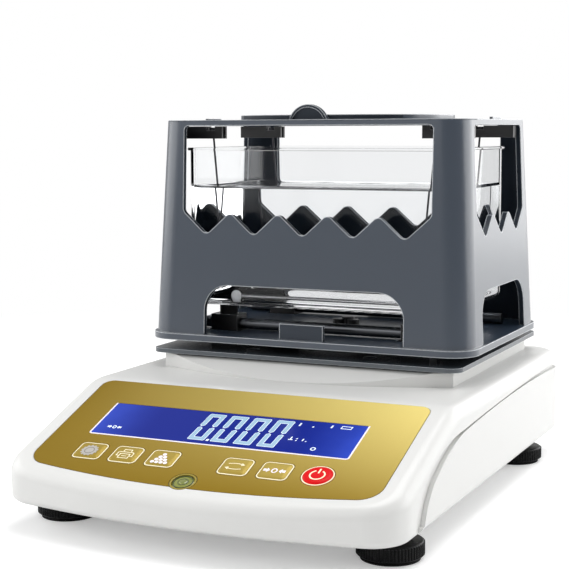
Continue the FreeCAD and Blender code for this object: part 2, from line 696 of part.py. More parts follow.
footX = size.bodyWidth / 2 - size.footSideInset
footFrontY = size.bodyFrontY + size.footFrontInset
footBackY = size.bodyBackY - size.footBackInset
footPlaces = {"front_left": (-footX, footFrontY), "front_right": (footX, footFrontY),
              "back_left": (-footX, footBackY), "back_right": (footX, footBackY)}
nutRadius = size.studRadius + size.threadGap + size.nutWall
footBosses = [cylinder(f"foot_boss_{name}", nutRadius + size.footBossWall,
                       (x, y, size.groundGap + size.wall / 2), size.footBossHeight - size.wall / 2)
              for name, (x, y) in footPlaces.items()]
footBores = [cylinder(f"foot_bore_{name}", nutRadius, (x, y, zero),
                      size.groundGap + size.footBossHeight + size.wall)
             for name, (x, y) in footPlaces.items()]

cellFrontY = size.tankPlaceY - size.cellLength / 2
cellBackY = size.tankPlaceY + size.cellLength / 2
mainBoardY = cellFrontY - size.mainBoardGap - size.mainBoardLength / 2
boardZ = floorTopZ + size.mainBoardLift
boardCorners = [(i * (size.mainBoardWidth / 2 - size.standoffInset),
                 mainBoardY + j * (size.mainBoardLength / 2 - size.standoffInset))
                for i in (-1, 1) for j in (-1, 1)]
standoffs = [cylinder(f"standoff{number}", size.standoffRadius, (x, y, floorTopZ - size.wall / 2),
                      size.mainBoardLift + size.wall / 2)
             for number, (x, y) in enumerate(boardCorners)]
standoffHoles = [cylinder(f"standoff_hole{number}", size.screwRadius + size.moldGap,
                          (x, y, boardZ - size.mainBoardLift), size.mainBoardLift * 2)
                 for number, (x, y) in enumerate(boardCorners)]

socketZ = size.groundGap + size.socketLift
serialZ = size.groundGap + size.serialLift
socketHole = middleBox("socket_hole", (size.socketX, size.bodyBackY, socketZ), (
    size.socketWidth + size.fitGap * 2, size.wall * 4, size.socketHeight + size.fitGap * 2))
serialHole = middleBox("serial_hole", (size.serialX, size.bodyBackY, serialZ), (
    size.serialWidth + size.fitGap * 2, size.wall * 4, size.serialHeight + size.fitGap * 2))
lowerBlank = join("lower_blank", [lowerWalls, tongue, floorFront, floorBack] + footBosses
                  + standoffs)
lowerTools = join("lower_tools", footBores + standoffHoles + [coverHoles, socketHole, serialHole])
bottomCover = cut("bottom_cover", lowerBlank, lowerTools)

# ---- front panel --------------------------------------------------------------------------------

filmBlank = panelFilm("film_blank", zero, -size.filmThickness, zero)
filmWindow = roundedHole("film_window", size.lcdWidth + size.fitGap * 2,
                         size.lcdLength + size.fitGap * 2, size.lcdCorner + size.fitGap,
                         size.lcdCentreX, -size.lcdCentre, -size.wall, size.wall)
panelOverlay = onPanel(cut("panel_overlay", filmBlank, join(
    "film_tools", [filmWindow] + panelHoles("film_hole", size.fitGap, -size.wall, size.wall))))
lcdWindow = onPanel(group("lcd_window", [slab(
    "lcd_pane", size.lcdWidth, size.lcdLength, -size.lcdWindowThickness, size.lcdWindowThickness,
    size.lcdCorner, size.lcdCentreX, -size.lcdCentre)]))
moduleBottom = -size.displayBoardDepth
lcdModule = onPanel(group("lcd_module", [middleBox(
    "lcd_block", (size.lcdCentreX, -size.lcdCentre, moduleBottom + size.lcdModuleThickness / 2),
    (size.lcdWidth + size.lcdLedge, size.lcdLength + size.lcdLedge, size.lcdModuleThickness))]))
boardCentre = -size.displayBoardTop - size.displayBoardLength / 2
displayBoard = onPanel(cut("display_board", middleBox(
    "display_board_blank", (zero, boardCentre, moduleBottom - size.boardThickness / 2),
    (size.displayBoardWidth, size.displayBoardLength, size.boardThickness)),
    group("display_board_holes", displayHoles)))
displayScrewSet = onPanel(group("display_screws", displayScrews))

plungerHeight = size.fitGap
keyBottom = -(size.displayBoardDepth - size.switchHeight - plungerHeight - size.keyTravel
              - size.fitGap / 2)
switches = []
for key, x in dict(keyPlaces, key_power=size.powerKeyX).items():
    shell = middleBox(f"switch_{key}", (x, -size.keyRow, moduleBottom + size.switchHeight / 2),
                      (size.switchBody, size.switchBody, size.switchHeight))
    plunger = cylinder(f"plunger_{key}", size.plungerRadius,
                       (x, -size.keyRow, moduleBottom + size.switchHeight), plungerHeight)
    switches.append(join(f"switch_unit_{key}", [shell, plunger]))
keySwitches = onPanel(group("key_switches", switches))

coverUnder = -size.wall
keys = []
for key, x in keyPlaces.items():
    cap = slab(f"{key}_cap", size.keyWidth, size.keyLength, keyBottom, -keyBottom, size.keyCorner,
               x, -size.keyRow)
    flange = middleBox(f"{key}_flange", (x, -size.keyRow, (coverUnder + keyBottom) / 2),
                       (size.keyWidth + size.keyFlange * 2, size.keyLength + size.keyFlange * 2,
                        coverUnder - keyBottom))
    keys.append(onPanel(join(key, [cap, flange])))
powerCap = cylinder("key_power_cap", size.powerKeyRadius, (size.powerKeyX, -size.keyRow, keyBottom),
                    -keyBottom)
powerFlange = cylinder("key_power_flange", size.powerKeyRadius + size.keyFlange,
                       (size.powerKeyX, -size.keyRow, keyBottom), coverUnder - keyBottom)
keys.append(onPanel(join("key_power", [powerCap, powerFlange])))

levelBottom = -size.levelDepth
vialBottom = levelBottom + size.levelFloor
levelRing = onPanel(cut("level_housing", cylinder(
    "level_ring", size.levelRadius + size.levelRing, (size.levelX, -size.levelRow, levelBottom),
    size.levelDepth), cylinder(
        "level_bore", size.levelRadius + size.moldGap,
        (size.levelX, -size.levelRow, vialBottom), size.levelDepth)))
levelVial = onPanel(group("level_vial", [cylinder(
    "vial_disc", size.levelRadius, (size.levelX, -size.levelRow, vialBottom),
    size.levelDepth - size.levelFloor - size.fitGap)]))

# ---- inside the base ----------------------------------------------------------------------------

mainBoard = cut("main_board", middleBox(
    "main_board_blank", (zero, mainBoardY, boardZ + size.boardThickness / 2),
    (size.mainBoardWidth, size.mainBoardLength, size.boardThickness)),
    group("main_board_holes", standoffHoles))
# each part on the board: its place as a share of the half board, then its spans in pin pitches
boardParts = {"processor": (-0.48, 0.21, 8, 6, 1.5), "converter": (0.17, -0.14, 6, 6, 1),
              "relay": (0.65, 0.34, 6, 10, 3), "buzzer": (-0.65, -0.48, 5, 4, 2),
              "header": (0.13, 0.55, 9, 4, 2.5)}
chips = []
for name, (across, along, wide, deep, high) in boardParts.items():
    spans = [size.chipPitch * count for count in (wide, deep, high)]
    chips.append(middleBox(name, (size.mainBoardWidth / 2 * across,
                                  mainBoardY + size.mainBoardLength / 2 * along,
                                  boardZ + size.boardThickness + spans[2] / 2), spans))
boardChips = group("board_chips", chips)
boardScrews = []
for number, (x, y) in enumerate(boardCorners):
    shank = cylinder(f"board_shank{number}", size.screwRadius,
                     (x, y, boardZ - size.mainBoardLift + size.fitGap),
                     size.mainBoardLift + size.boardThickness - size.fitGap)
    head = cylinder(f"board_head{number}", size.smallHeadRadius,
                    (x, y, boardZ + size.boardThickness), size.screwHeadHeight)
    boardScrews.append(join(f"board_screw{number}", [shank, head]))
boardScrewSet = group("board_screws", boardScrews)

bracketZ = size.deckZ - size.wall - size.bracketGap - size.bracketThickness
cellTopZ = bracketZ - size.bracketLift
cellZ = cellTopZ - size.cellHeight
cellScrewDepth = (cellZ - floorTopZ) / 2


def cellScrewHoles(name, y, low, high, gap=0):
    return [cylinder(f"{name}{number}", size.screwRadius + gap,
                     (side * size.cellWidth / 4, y, low), high - low)
            for number, side in enumerate((-1, 1))]


fixedY = cellFrontY + size.cellEnd / 2
freeY = cellBackY - size.cellEnd / 2
fixedHoles = cellScrewHoles("fixed_hole", fixedY, cellZ - cellScrewDepth,
                            cellTopZ + size.wall, size.moldGap)
freeHoles = cellScrewHoles("free_hole", freeY, cellTopZ - size.cellHeight / 2,
                           cellTopZ + size.bracketThickness * 2, size.moldGap)
cellBlank = middleBox("cell_blank", (zero, size.tankPlaceY, cellZ + size.cellHeight / 2),
                      (size.cellWidth, size.cellLength, size.cellHeight))
cellEyes = [cylinder(f"cell_eye{number}", size.cellHoleRadius,
                     (-size.cellWidth, size.tankPlaceY + side * size.cellHoleSpacing / 2,
                      cellZ + size.cellHeight / 2), size.cellWidth * 2, (0, 1, 0), 90)
            for number, side in enumerate((-1, 1))]
cellSlot = middleBox("cell_slot", (zero, size.tankPlaceY, cellZ + size.cellHeight / 2),
                     (size.cellWidth * 2, size.cellHoleSpacing, size.cellSlotHeight))
loadCell = cut("load_cell", cellBlank, join("cell_tools", cellEyes + [cellSlot] + fixedHoles
                                            + freeHoles))
cellBase = cut("load_cell_base", box(
    "cell_base_blank", (-size.cellBaseWidth / 2, cellFrontY, floorTopZ),
    (size.cellBaseWidth / 2, cellFrontY + size.cellEnd, cellZ)), group("cell_base_holes",
                                                                      fixedHoles))
hubTopZ = size.plateTopZ + size.flangeGap
hubRadius = size.hubHoleRadius - size.hubGap
bracketFoot = box("bracket_foot", (-size.cellWidth / 2, cellBackY - size.cellEnd, cellTopZ),
                  (size.cellWidth / 2, cellBackY, bracketZ + size.bracketThickness))
bracketBar = box("bracket_bar",
                 (-size.cellWidth / 2, size.tankPlaceY - hubRadius, bracketZ),
                 (size.cellWidth / 2, cellBackY, bracketZ + size.bracketThickness))
hubPost = cylinder("hub_post", hubRadius, (0, size.tankPlaceY, bracketZ), hubTopZ - bracketZ)
hubFlange = cylinder("hub_flange", size.hubFlangeRadius,
                     (0, size.tankPlaceY, hubTopZ - size.hubFlangeThickness),
                     size.hubFlangeThickness)
knobHole = cylinder("knob_hole", size.knobStudRadius + size.threadGap,
                    (0, size.tankPlaceY, hubTopZ - hubRadius), hubRadius * 3)
loadBracket = cut("load_bracket", join("bracket_blank", [bracketFoot, bracketBar, hubPost,
                                                         hubFlange]),
                  join("bracket_tools", freeHoles + [knobHole]))


def cellScrews(name, y, low, seat):
    pieces = []
    for number, side in enumerate((-1, 1)):
        x = side * size.cellWidth / 4
        shank = cylinder(f"{name}_shank{number}", size.screwRadius, (x, y, low), seat - low)
        head = cylinder(f"{name}_head{number}", size.smallHeadRadius, (x, y, seat),
                        size.screwHeadHeight)
        pieces.append(join(f"{name}{number}", [shank, head]))
    return pieces


cellScrewSet = group("load_cell_screws", cellScrews(
    "fixed_screw", fixedY, cellZ - cellScrewDepth + size.fitGap, cellTopZ))
bracketScrewSet = group("bracket_screws", cellScrews(
    "free_screw", freeY, cellTopZ - size.cellHeight / 2 + size.fitGap,
    bracketZ + size.bracketThickness))
batteryRight = -(size.cellBaseWidth / 2 + size.batteryGap)
batteryFrontY = mainBoardY + size.mainBoardLength / 2 + size.batteryFrontGap
battery = group("battery_pack", [box(
    "battery_block", (batteryRight - size.batteryWidth, batteryFrontY, floorTopZ),
    (batteryRight, batteryFrontY + size.batteryLength, floorTopZ + size.batteryHeight))])


def outwards(name, radius, x, y, z, length):
    """A cylinder that runs from y towards the back."""
    return cylinder(name, radius, (x, y, z), length, (1, 0, 0), -90)


socketFrontY = size.bodyBackY - size.socketDepth
socketBody = box("socket_body", (size.socketX - size.socketWidth / 2, socketFrontY,
                                 socketZ - size.socketHeight / 2),
                 (size.socketX + size.socketWidth / 2, size.bodyBackY,
                  socketZ + size.socketHeight / 2))
socketBore = outwards("socket_bore", size.socketBore, size.socketX, socketFrontY + size.wall,
                      socketZ, size.socketDepth)
socketPin = outwards("socket_pin", size.socketPin, size.socketX, socketFrontY + size.wall / 2,
                     socketZ, size.socketDepth - size.wall)
powerSocket = join("power_socket", [cut("socket_shell", socketBody, socketBore), socketPin])

cupBackY = size.bodyBackY - size.wall - size.fitGap
serialShell = box("serial_shell", (size.serialX - size.serialWidth / 2, cupBackY - size.wall,
                                   serialZ - size.serialHeight / 2),
                  (size.serialX + size.serialWidth / 2, size.bodyBackY,
                   serialZ + size.serialHeight / 2))
serialHollow = middleBox("serial_hollow", (size.serialX, size.bodyBackY, serialZ),
                         (size.serialWidth - size.serialLip * 2, size.wall * 2,
                          size.serialHeight - size.serialLip * 2))
serialBack = middleBox("serial_back", (size.serialX, cupBackY - size.serialBlockDepth / 2,
                                       serialZ),
                       (size.serialBlockWidth, size.serialBlockDepth, size.serialBlockHeight))
serialPins = []
for number in range(9):
    lower, step = divmod(number, 5)
    pinX = size.serialX + (step - 2 + lower / 2) * size.serialPinPitch
    pinZ = serialZ + (0.5 - lower) * size.serialPinPitch
    serialPins.append(outwards(f"serial_pin{number}", size.serialPinRadius, pinX, cupBackY, pinZ,
                               size.wall))
serialPort = join("serial_port", [cut("serial_cup", serialShell, serialHollow), serialBack]
                  + serialPins)
housingScrews = group("housing_screws", coverScrews("housing_screw", zero, zero - size.fitGap))

# ---- levelling feet -----------------------------------------------------------------------------

feet = []
wheelHeight = size.groundGap - size.wheelGap - size.padHeight
for name, (x, y) in footPlaces.items():
    padDisc = cylinder(f"pad_disc_{name}", size.footRadius - size.padInset, (x, y, zero),
                       size.padHeight)
    feet.append(group(f"foot_pad_{name}", [padDisc]))
    wheel = cylinder(f"wheel_{name}", size.footRadius, (x, y, size.padHeight), wheelHeight)
    stud = cylinder(f"stud_{name}", size.studRadius, (x, y, size.padHeight),
                    size.groundGap + size.studReach - size.padHeight)
    feet.append(join(f"foot_wheel_{name}", [wheel, stud]))
nutBottom = size.groundGap + size.fitGap
nuts = [cut(f"nut_{name}", cylinder(
    f"nut_blank_{name}", nutRadius - size.threadGap, (x, y, nutBottom),
    size.footBossHeight - size.fitGap), cylinder(
        f"nut_bore_{name}", size.studRadius + size.threadGap, (x, y, zero), size.groundGap * 3))
        for name, (x, y) in footPlaces.items()]
footNuts = group("foot_nuts", nuts)

# ---- dark plate and tank stand --------------------------------------------------------------------

standPlaces = [(i * size.standX, size.tankPlaceY + j * size.standY) for i in (-1, 1)
               for j in (-1, 1)]
plateBlank = slab("plate_blank", size.plateWidth, size.plateLength, size.plateBottomZ,
                  size.plateThickness, size.plateCorner, zero, size.tankPlaceY + size.plateShift)
tankPlate = cut("tank_plate", plateBlank, join("plate_tools", [cylinder(
    "plate_hub_hole", size.hubHoleRadius, (0, size.tankPlaceY, zero), size.plateTopZ * 2)]
    + [plateHoles]))
spacers = []
for number, (x, y) in enumerate(plateScrewPlaces):
    blank = cylinder(f"spacer_blank{number}", size.bossRadius, (x, y, size.platformZ),
                     size.plateBottomZ - size.platformZ)
    bore = cylinder(f"spacer_bore{number}", size.screwRadius + size.moldGap,
                    (x, y, size.platformZ - size.wall), size.wall * 3)
    spacers.append(cut(f"plate_spacer{number}", blank, bore))
plateSpacers = group("plate_spacers", spacers)
plateScrewSet = group("plate_screws", plateScrews("plate_screw", zero))
standBlocks = []
standPads = []
for number, (x, y) in enumerate(standPlaces):
    block = middleBox(f"stand_body{number}", (x, y, (size.plateTopZ + size.standTopZ) / 2),
                      (size.standWidth, size.standLength, size.standTopZ - size.plateTopZ))
    eye = cylinder(f"stand_eye{number}", size.rodRadius + size.threadGap,
                   (x - size.standWidth, y, size.rodZ), size.standWidth * 2, (0, 1, 0), 90)
    standBlocks.append(cut(f"stand_block{number}", block, eye))
    standPads.append(cylinder(f"stand_pad{number}", size.standPadRadius, (x, y, size.standTopZ),
                              size.tankBottomZ - size.standTopZ))
standBlockSet = group("stand_blocks", standBlocks)
standPadSet = group("stand_pads", standPads)
standRods = group("stand_rods", [cylinder(
    f"stand_rod{number}", size.rodRadius, (-size.rodLength / 2, size.tankPlaceY
                                           + side * size.standY, size.rodZ),
    size.rodLength, (0, 1, 0), 90) for number, side in enumerate((-1, 1))])

# ---- tank ---------------------------------------------------------------------------------------


def tub(name, width, length, bottom, top, corner, foot):
    body = slab(name, width, length, bottom, top - bottom, corner, zero, size.tankPlaceY)
    soften(body, name + "_foot", foot, lambda edge: edge.BoundBox.ZMax < float(bottom) + 0.01)
    return body


tankShell = tub("tank_shell", size.tankWidth, size.tankLength, size.tankBottomZ, size.tankTopZ,
                size.tankCorner, size.tankFoot)
tankHollow = tub("tank_hollow", size.tankWidth - size.tankWall * 2,
                 size.tankLength - size.tankWall * 2, size.tankBottomZ + size.tankWall,
                 size.tankTopZ + size.tankWall, size.tankCorner - size.tankWall,
                 size.tankFoot - size.tankWall)
tankRim = slab("tank_rim", size.tankWidth + size.rimWidth * 2, size.tankLength + size.rimWidth * 2,
               size.tankTopZ - size.rimHeight, size.rimHeight, size.tankCorner + size.rimWidth,
               zero, size.tankPlaceY)
waterTank = cut("water_tank", join("tank_blank", [tankShell, tankRim]), tankHollow)

# ---- weighing frame -----------------------------------------------------------------------------

frameY = size.tankPlaceY
floorZ = size.plateTopZ + size.flangeGap
flangeTopZ = floorZ + size.flangeThickness
archTopZ = flangeTopZ + size.archHeight
wallHeight = size.frameTopZ - flangeTopZ
flange = slab("frame_flange", size.flangeWidth, size.flangeLength, floorZ, size.flangeThickness,
              size.flangeCorner, zero, frameY)
wallOuter = slab("frame_outer", size.wallWidth, size.wallLength, flangeTopZ, wallHeight,
                 size.frameCorner, zero, frameY, size.frameDraft)
wallInner = slab("frame_inner", size.wallWidth - size.frameWall * 2,
                 size.wallLength - size.frameWall * 2, flangeTopZ, wallHeight,
                 size.frameCorner - size.frameWall, zero, frameY, size.frameDraft)
frameRing = cut("frame_ring", wallOuter, wallInner)


def through(role):
    """The middle, the cutting length and the sketch offset of a hole through opposite walls."""
    if role == "XZ_Plane":
        return zero, size.flangeLength * 2, -frameY
    return frameY, size.flangeWidth * 2, zero


def sawWindow(name, role, window, valleys):
    """Window over a sawtooth sill: equal valleys side by side, a peak between each two."""
    centre, reach, offset = through(role)
    top = size.railBottomZ
    half = window / 2
    pitch = window / valleys
    corners = [(centre + half, top), (centre - half, top), (centre - half, size.peakZ)]
    for number in range(valleys):
        at = centre - half + pitch * (number + 0.5)
        corners.append((at, size.valleyZ))
        if number < valleys - 1:
            corners.append((at + pitch / 2, size.peakZ))
    corners.append((centre + half, size.peakZ))
    middleZ = float(size.peakZ + top) / 2
    body = prism(name, role, corners, reach, offset, size.sawRound,
                 lambda middle: middle.z < middleZ)
    axis = (0, 1, 0) if role == "XZ_Plane" else (1, 0, 0)
    soften(body, name + "_head", size.windowRound, lengthwise(
        axis, lambda middle: middle.z > middleZ))
    return body


def arch(name, role, width):
    centre, reach, offset = through(role)
    corners = [(centre - width / 2, flangeTopZ), (centre + width / 2, flangeTopZ),
               (centre + width / 2, archTopZ), (centre - width / 2, archTopZ)]
    limit = float(archTopZ) - 0.01
    return prism(name, role, corners, reach, offset, size.archRound,
                 lambda middle: middle.z > limit)


frameOpenings = join("frame_openings", [
    sawWindow("front_window", "XZ_Plane", size.wallWidth - size.frontPost * 2, 5),
    sawWindow("side_window", "YZ_Plane", size.wallLength - size.sidePost * 2, 3),
    arch("front_arch", "XZ_Plane", size.wallWidth - size.frontArchPost * 2),
    arch("side_arch", "YZ_Plane", size.wallLength - size.sideArchPost * 2)])
frameWalls = cut("frame_walls", frameRing, frameOpenings)
sillY = size.wallLength / 2 - size.frameWall / 2 - (size.frameWall - size.sillThickness) / 2
sillSpan = size.flangeThickness / 2 + size.sillHeight
sills = [middleBox(f"sill{number}", (zero, frameY + side * sillY,
                                     flangeTopZ + size.sillHeight - sillSpan / 2),
                   (size.sillWidth, size.sillThickness, sillSpan))
         for number, side in enumerate((-1, 1))]
topHalfLength = size.wallLength / 2 - wallHeight * tangent(size.frameDraft)
topHalfWidth = size.wallWidth / 2 - wallHeight * tangent(size.frameDraft)
tabFrontY = frameY - topHalfLength + size.tabSetback
tabCentreZ = size.frameTopZ - size.tabDrop
tabDisc = cylinder("tab_disc", size.tabRadius, (0, tabFrontY + size.tabThickness, tabCentreZ),
                   size.tabThickness, (1, 0, 0), 90)
tabRecess = cylinder("tab_recess", size.tabRadius - size.tabLip,
                     (0, tabFrontY + size.tabRecess, tabCentreZ), size.tabThickness,
                     (1, 0, 0), 90)
tabZone = box("tab_zone",
              (-size.tabRadius * 2, tabFrontY - size.tabThickness, size.railBottomZ),
              (size.tabRadius * 2, tabFrontY + size.tabThickness * 2,
               size.railBottomZ + size.tabRadius * 2))
tab = cut("frame_tab", common("tab_blank", [tabDisc, tabZone]), tabRecess)
ledges = [middleBox(f"ledge{number}", (
    zero, frameY + side * (topHalfLength - size.frameWall / 2 - size.ledgeDepth / 2),
    size.railBottomZ + size.railHeight / 2),
    (size.trayWidth + size.ledgeReach * 2, size.frameWall + size.ledgeDepth, size.railHeight))
          for number, side in enumerate((-1, 1))]
bumps = [middleBox(f"bump{number}", (side * (topHalfWidth - size.frameWall / 2), frameY,
                                     size.frameTopZ + (size.bumpHeight - size.bumpSink) / 2),
                   (size.bumpWidth, size.bumpLength, size.bumpHeight + size.bumpSink))
         for number, side in enumerate((-1, 1))]


def hangerArm(name, i, j, gap):
    """One arm's block from its socket in the side wall to its tip, or the socket when grown."""
    y = frameY + j * size.armY
    root = topHalfWidth - size.frameWall + size.armSocket + gap
    low = (size.armTipX if i > 0 else -root, y - size.armWidth / 2 - gap, size.armBottomZ - gap)
    high = (root if i > 0 else -size.armTipX, y + size.armWidth / 2 + gap, size.armTopZ + gap)
    return box(name, low, high)


armCorners = [(i, j) for i in (-1, 1) for j in (-1, 1)]
armSockets = [hangerArm(f"arm_socket{number}", i, j, size.socketGap)
              for number, (i, j) in enumerate(armCorners)]
standHoles = [middleBox(f"stand_hole{number}", (x, y, floorZ + size.flangeThickness / 2),
                        (size.standWidth + size.standHoleGap * 2,
                         size.standLength + size.standHoleGap * 2, size.flangeThickness * 3))
              for number, (x, y) in enumerate(standPlaces)]
frameSolid = join("frame_solid", [flange, frameWalls, tab] + sills + ledges + bumps)
weighingFrame = cut("weighing_frame", frameSolid, join(
    "frame_tools", armSockets + standHoles + [knobHole]))

knobTop = flangeTopZ + size.knobHeight
lobes = [cylinder("knob_core", size.lobeRadius, (0, frameY, flangeTopZ), size.knobHeight)]
for number in range(3):
    turn = math.radians(90 + 120 * number)
    lobes.append(cylinder(f"knob_lobe{number}", size.lobeRadius,
                          (size.lobeReach * math.cos(turn), frameY + size.lobeReach
                           * math.sin(turn), flangeTopZ), size.lobeHeight))
knobStud = cylinder("knob_stud", size.knobStudRadius, (0, frameY, hubTopZ - hubRadius / 2),
                    size.knobHeight + flangeTopZ - hubTopZ + hubRadius / 2)
frameKnob = join("frame_knob", lobes + [knobStud])

arms = []
for number, (i, j) in enumerate(armCorners):
    blank = hangerArm(f"arm_blank{number}", i, j, zero)
    y = frameY + j * size.armY
    slotLength = size.armTipReach + size.slotWidth
    slotX = i * (size.wireX + size.slotWidth / 2 - slotLength / 2)
    slot = middleBox(f"arm_slot{number}", (slotX, y, (size.armBottomZ + size.armTopZ) / 2),
                     (slotLength, size.slotWidth, size.armHeight * 2))
    seat = middleBox(f"arm_seat{number}", (i * size.wireX, y, size.armTopZ),
                     ((size.beadRadius + size.seatGap) * 2, size.armWidth * 2,
                      size.seatDrop * 2))
    arms.append(cut(f"arm{number}", blank, join(f"arm_tools{number}", [slot, seat])))
hangerArms = group("hanger_arms", arms)

# ---- basket and tray ----------------------------------------------------------------------------

basketShell = slab("basket_shell", size.basketWidth, size.basketLength, size.basketZ,
                   size.basketHeight, size.basketCorner, zero, frameY)
basketHollow = slab("basket_hollow", size.basketWidth - size.basketWall * 2,
                    size.basketLength - size.basketWall * 2, size.basketZ + size.basketWall,
                    size.basketHeight, size.basketCorner - size.basketWall, zero, frameY)
columns = int(float(size.basketWidth - size.basketCorner * 2) // float(size.meshPitch))
rows = int(float(size.basketLength - size.basketCorner * 2) // float(size.meshPitch))
mesh = [cylinder(f"mesh{i}_{j}", size.meshHole, ((i - (columns - 1) / 2) * size.meshPitch,
                                                 frameY + (j - (rows - 1) / 2) * size.meshPitch,
                                                 size.basketZ - size.basketWall),
                 size.basketWall * 3) for i in range(columns) for j in range(rows)]
basket = cut("basket", basketShell, group("basket_tools", [basketHollow] + mesh))

# a straight wire leans outwards from the basket's end wall to the bead on its arm
wireSet = doc.addObject("Part::Feature", "basket_wires")
wireShapes = []
for i, j in armCorners:
    wireY = float(frameY) + j * float(size.armY)
    foot = V(i * float(size.basketWidth / 2 - size.basketCorner), wireY,
             float(size.basketZ + size.basketWall))
    head = V(i * float(size.wireX), wireY, float(size.armTopZ - size.seatDrop))
    wire = Part.makeCylinder(float(size.wireRadius), (head - foot).Length, foot, head - foot)
    bead = Part.makeCylinder(float(size.beadRadius), float(size.beadHeight), head)
    wireShapes.append(wire.fuse(bead).removeSplitter())
wireSet.Shape = Part.makeCompound(wireShapes)

trayZ = size.frameTopZ
trayHeight = size.trayThickness + size.trayRimHeight
trayLength = (topHalfLength - size.tabSetback - size.tabThickness - size.trayGap) * 2
trayBlank = slab("tray_blank", size.trayWidth, trayLength, trayZ, trayHeight, size.trayCorner,
                 zero, frameY)
trayDish = slab("tray_dish", size.trayWidth - size.trayRimWidth * 2,
                trayLength - size.trayRimWidth * 2, trayZ + size.trayThickness, trayHeight,
                size.trayCorner - size.trayRimWidth, zero, frameY)
tray = cut("measuring_tray", trayBlank, trayDish)

# ---- check and write ----------------------------------------------------------------------------

nodes = [topCover, bottomCover, panelOverlay, lcdWindow, lcdModule, displayBoard, displayScrewSet,
         keySwitches, levelRing, levelVial, mainBoard, boardChips, boardScrewSet, loadCell, cellBase,
         cellScrewSet, loadBracket, bracketScrewSet, battery, powerSocket, serialPort, housingScrews,
         footNuts, tankPlate, plateSpacers, plateScrewSet, standBlockSet, standPadSet, standRods,
         waterTank, weighingFrame, frameKnob, hangerArms, basket, wireSet, tray] + keys + feet

doc.recompute()
for thing in doc.Objects:
    if {"Invalid", "Error"} & set(thing.State):
        raise ValueError(f"{thing.Name} failed: {thing.State}")
os.makedirs("parts", exist_ok=True)
for node in nodes:
    shape = node.Shape
    if shape.isNull() or not shape.isValid():
        raise ValueError(f"{node.Name} has no valid shape")
    node.Label = node.Name
    shape.exportStep(f"parts/{node.Name}.step")
    print(f"{node.Name:28s} solids {len(shape.Solids):3d}  volume {shape.Volume:10.1f}")
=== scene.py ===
import json
import math
import bmesh
import bpy
from mathutils import Matrix, Vector


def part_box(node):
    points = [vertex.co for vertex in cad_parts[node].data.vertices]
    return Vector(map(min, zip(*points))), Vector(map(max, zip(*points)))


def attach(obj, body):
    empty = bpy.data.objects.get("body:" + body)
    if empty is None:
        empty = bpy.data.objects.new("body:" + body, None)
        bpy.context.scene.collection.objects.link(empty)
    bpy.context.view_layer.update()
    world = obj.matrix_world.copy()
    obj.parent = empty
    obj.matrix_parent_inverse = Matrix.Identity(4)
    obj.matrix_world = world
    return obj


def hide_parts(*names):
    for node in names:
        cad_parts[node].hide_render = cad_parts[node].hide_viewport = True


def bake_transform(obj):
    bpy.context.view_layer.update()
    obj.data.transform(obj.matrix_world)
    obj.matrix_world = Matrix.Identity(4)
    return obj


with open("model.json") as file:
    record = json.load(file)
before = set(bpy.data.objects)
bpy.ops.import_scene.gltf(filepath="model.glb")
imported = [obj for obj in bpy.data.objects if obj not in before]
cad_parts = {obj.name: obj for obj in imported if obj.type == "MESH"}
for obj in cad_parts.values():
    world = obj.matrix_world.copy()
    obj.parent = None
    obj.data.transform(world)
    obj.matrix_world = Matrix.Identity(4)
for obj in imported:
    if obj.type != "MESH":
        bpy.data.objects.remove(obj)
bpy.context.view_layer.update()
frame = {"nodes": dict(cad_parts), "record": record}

# pieces are drawn in millimetres, and makePiece turns them to metres
mm = 0.001
nodes = frame["nodes"]
record = frame["record"]
print("frame loaded:", len(nodes), "nodes")


def boxOf(name):
    # the two corners of a node's box, in millimetres and free of rounding noise
    return [Vector([round(part / mm, 4) for part in corner]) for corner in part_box(name)]


def linear(red, green, blue):
    # screen colour 0..255 to the light values that Blender works in
    return tuple(((c / 255 + 0.055) / 1.055) ** 2.4 if c > 10 else c / 255 / 12.92
                 for c in (red, green, blue)) + (1.0,)


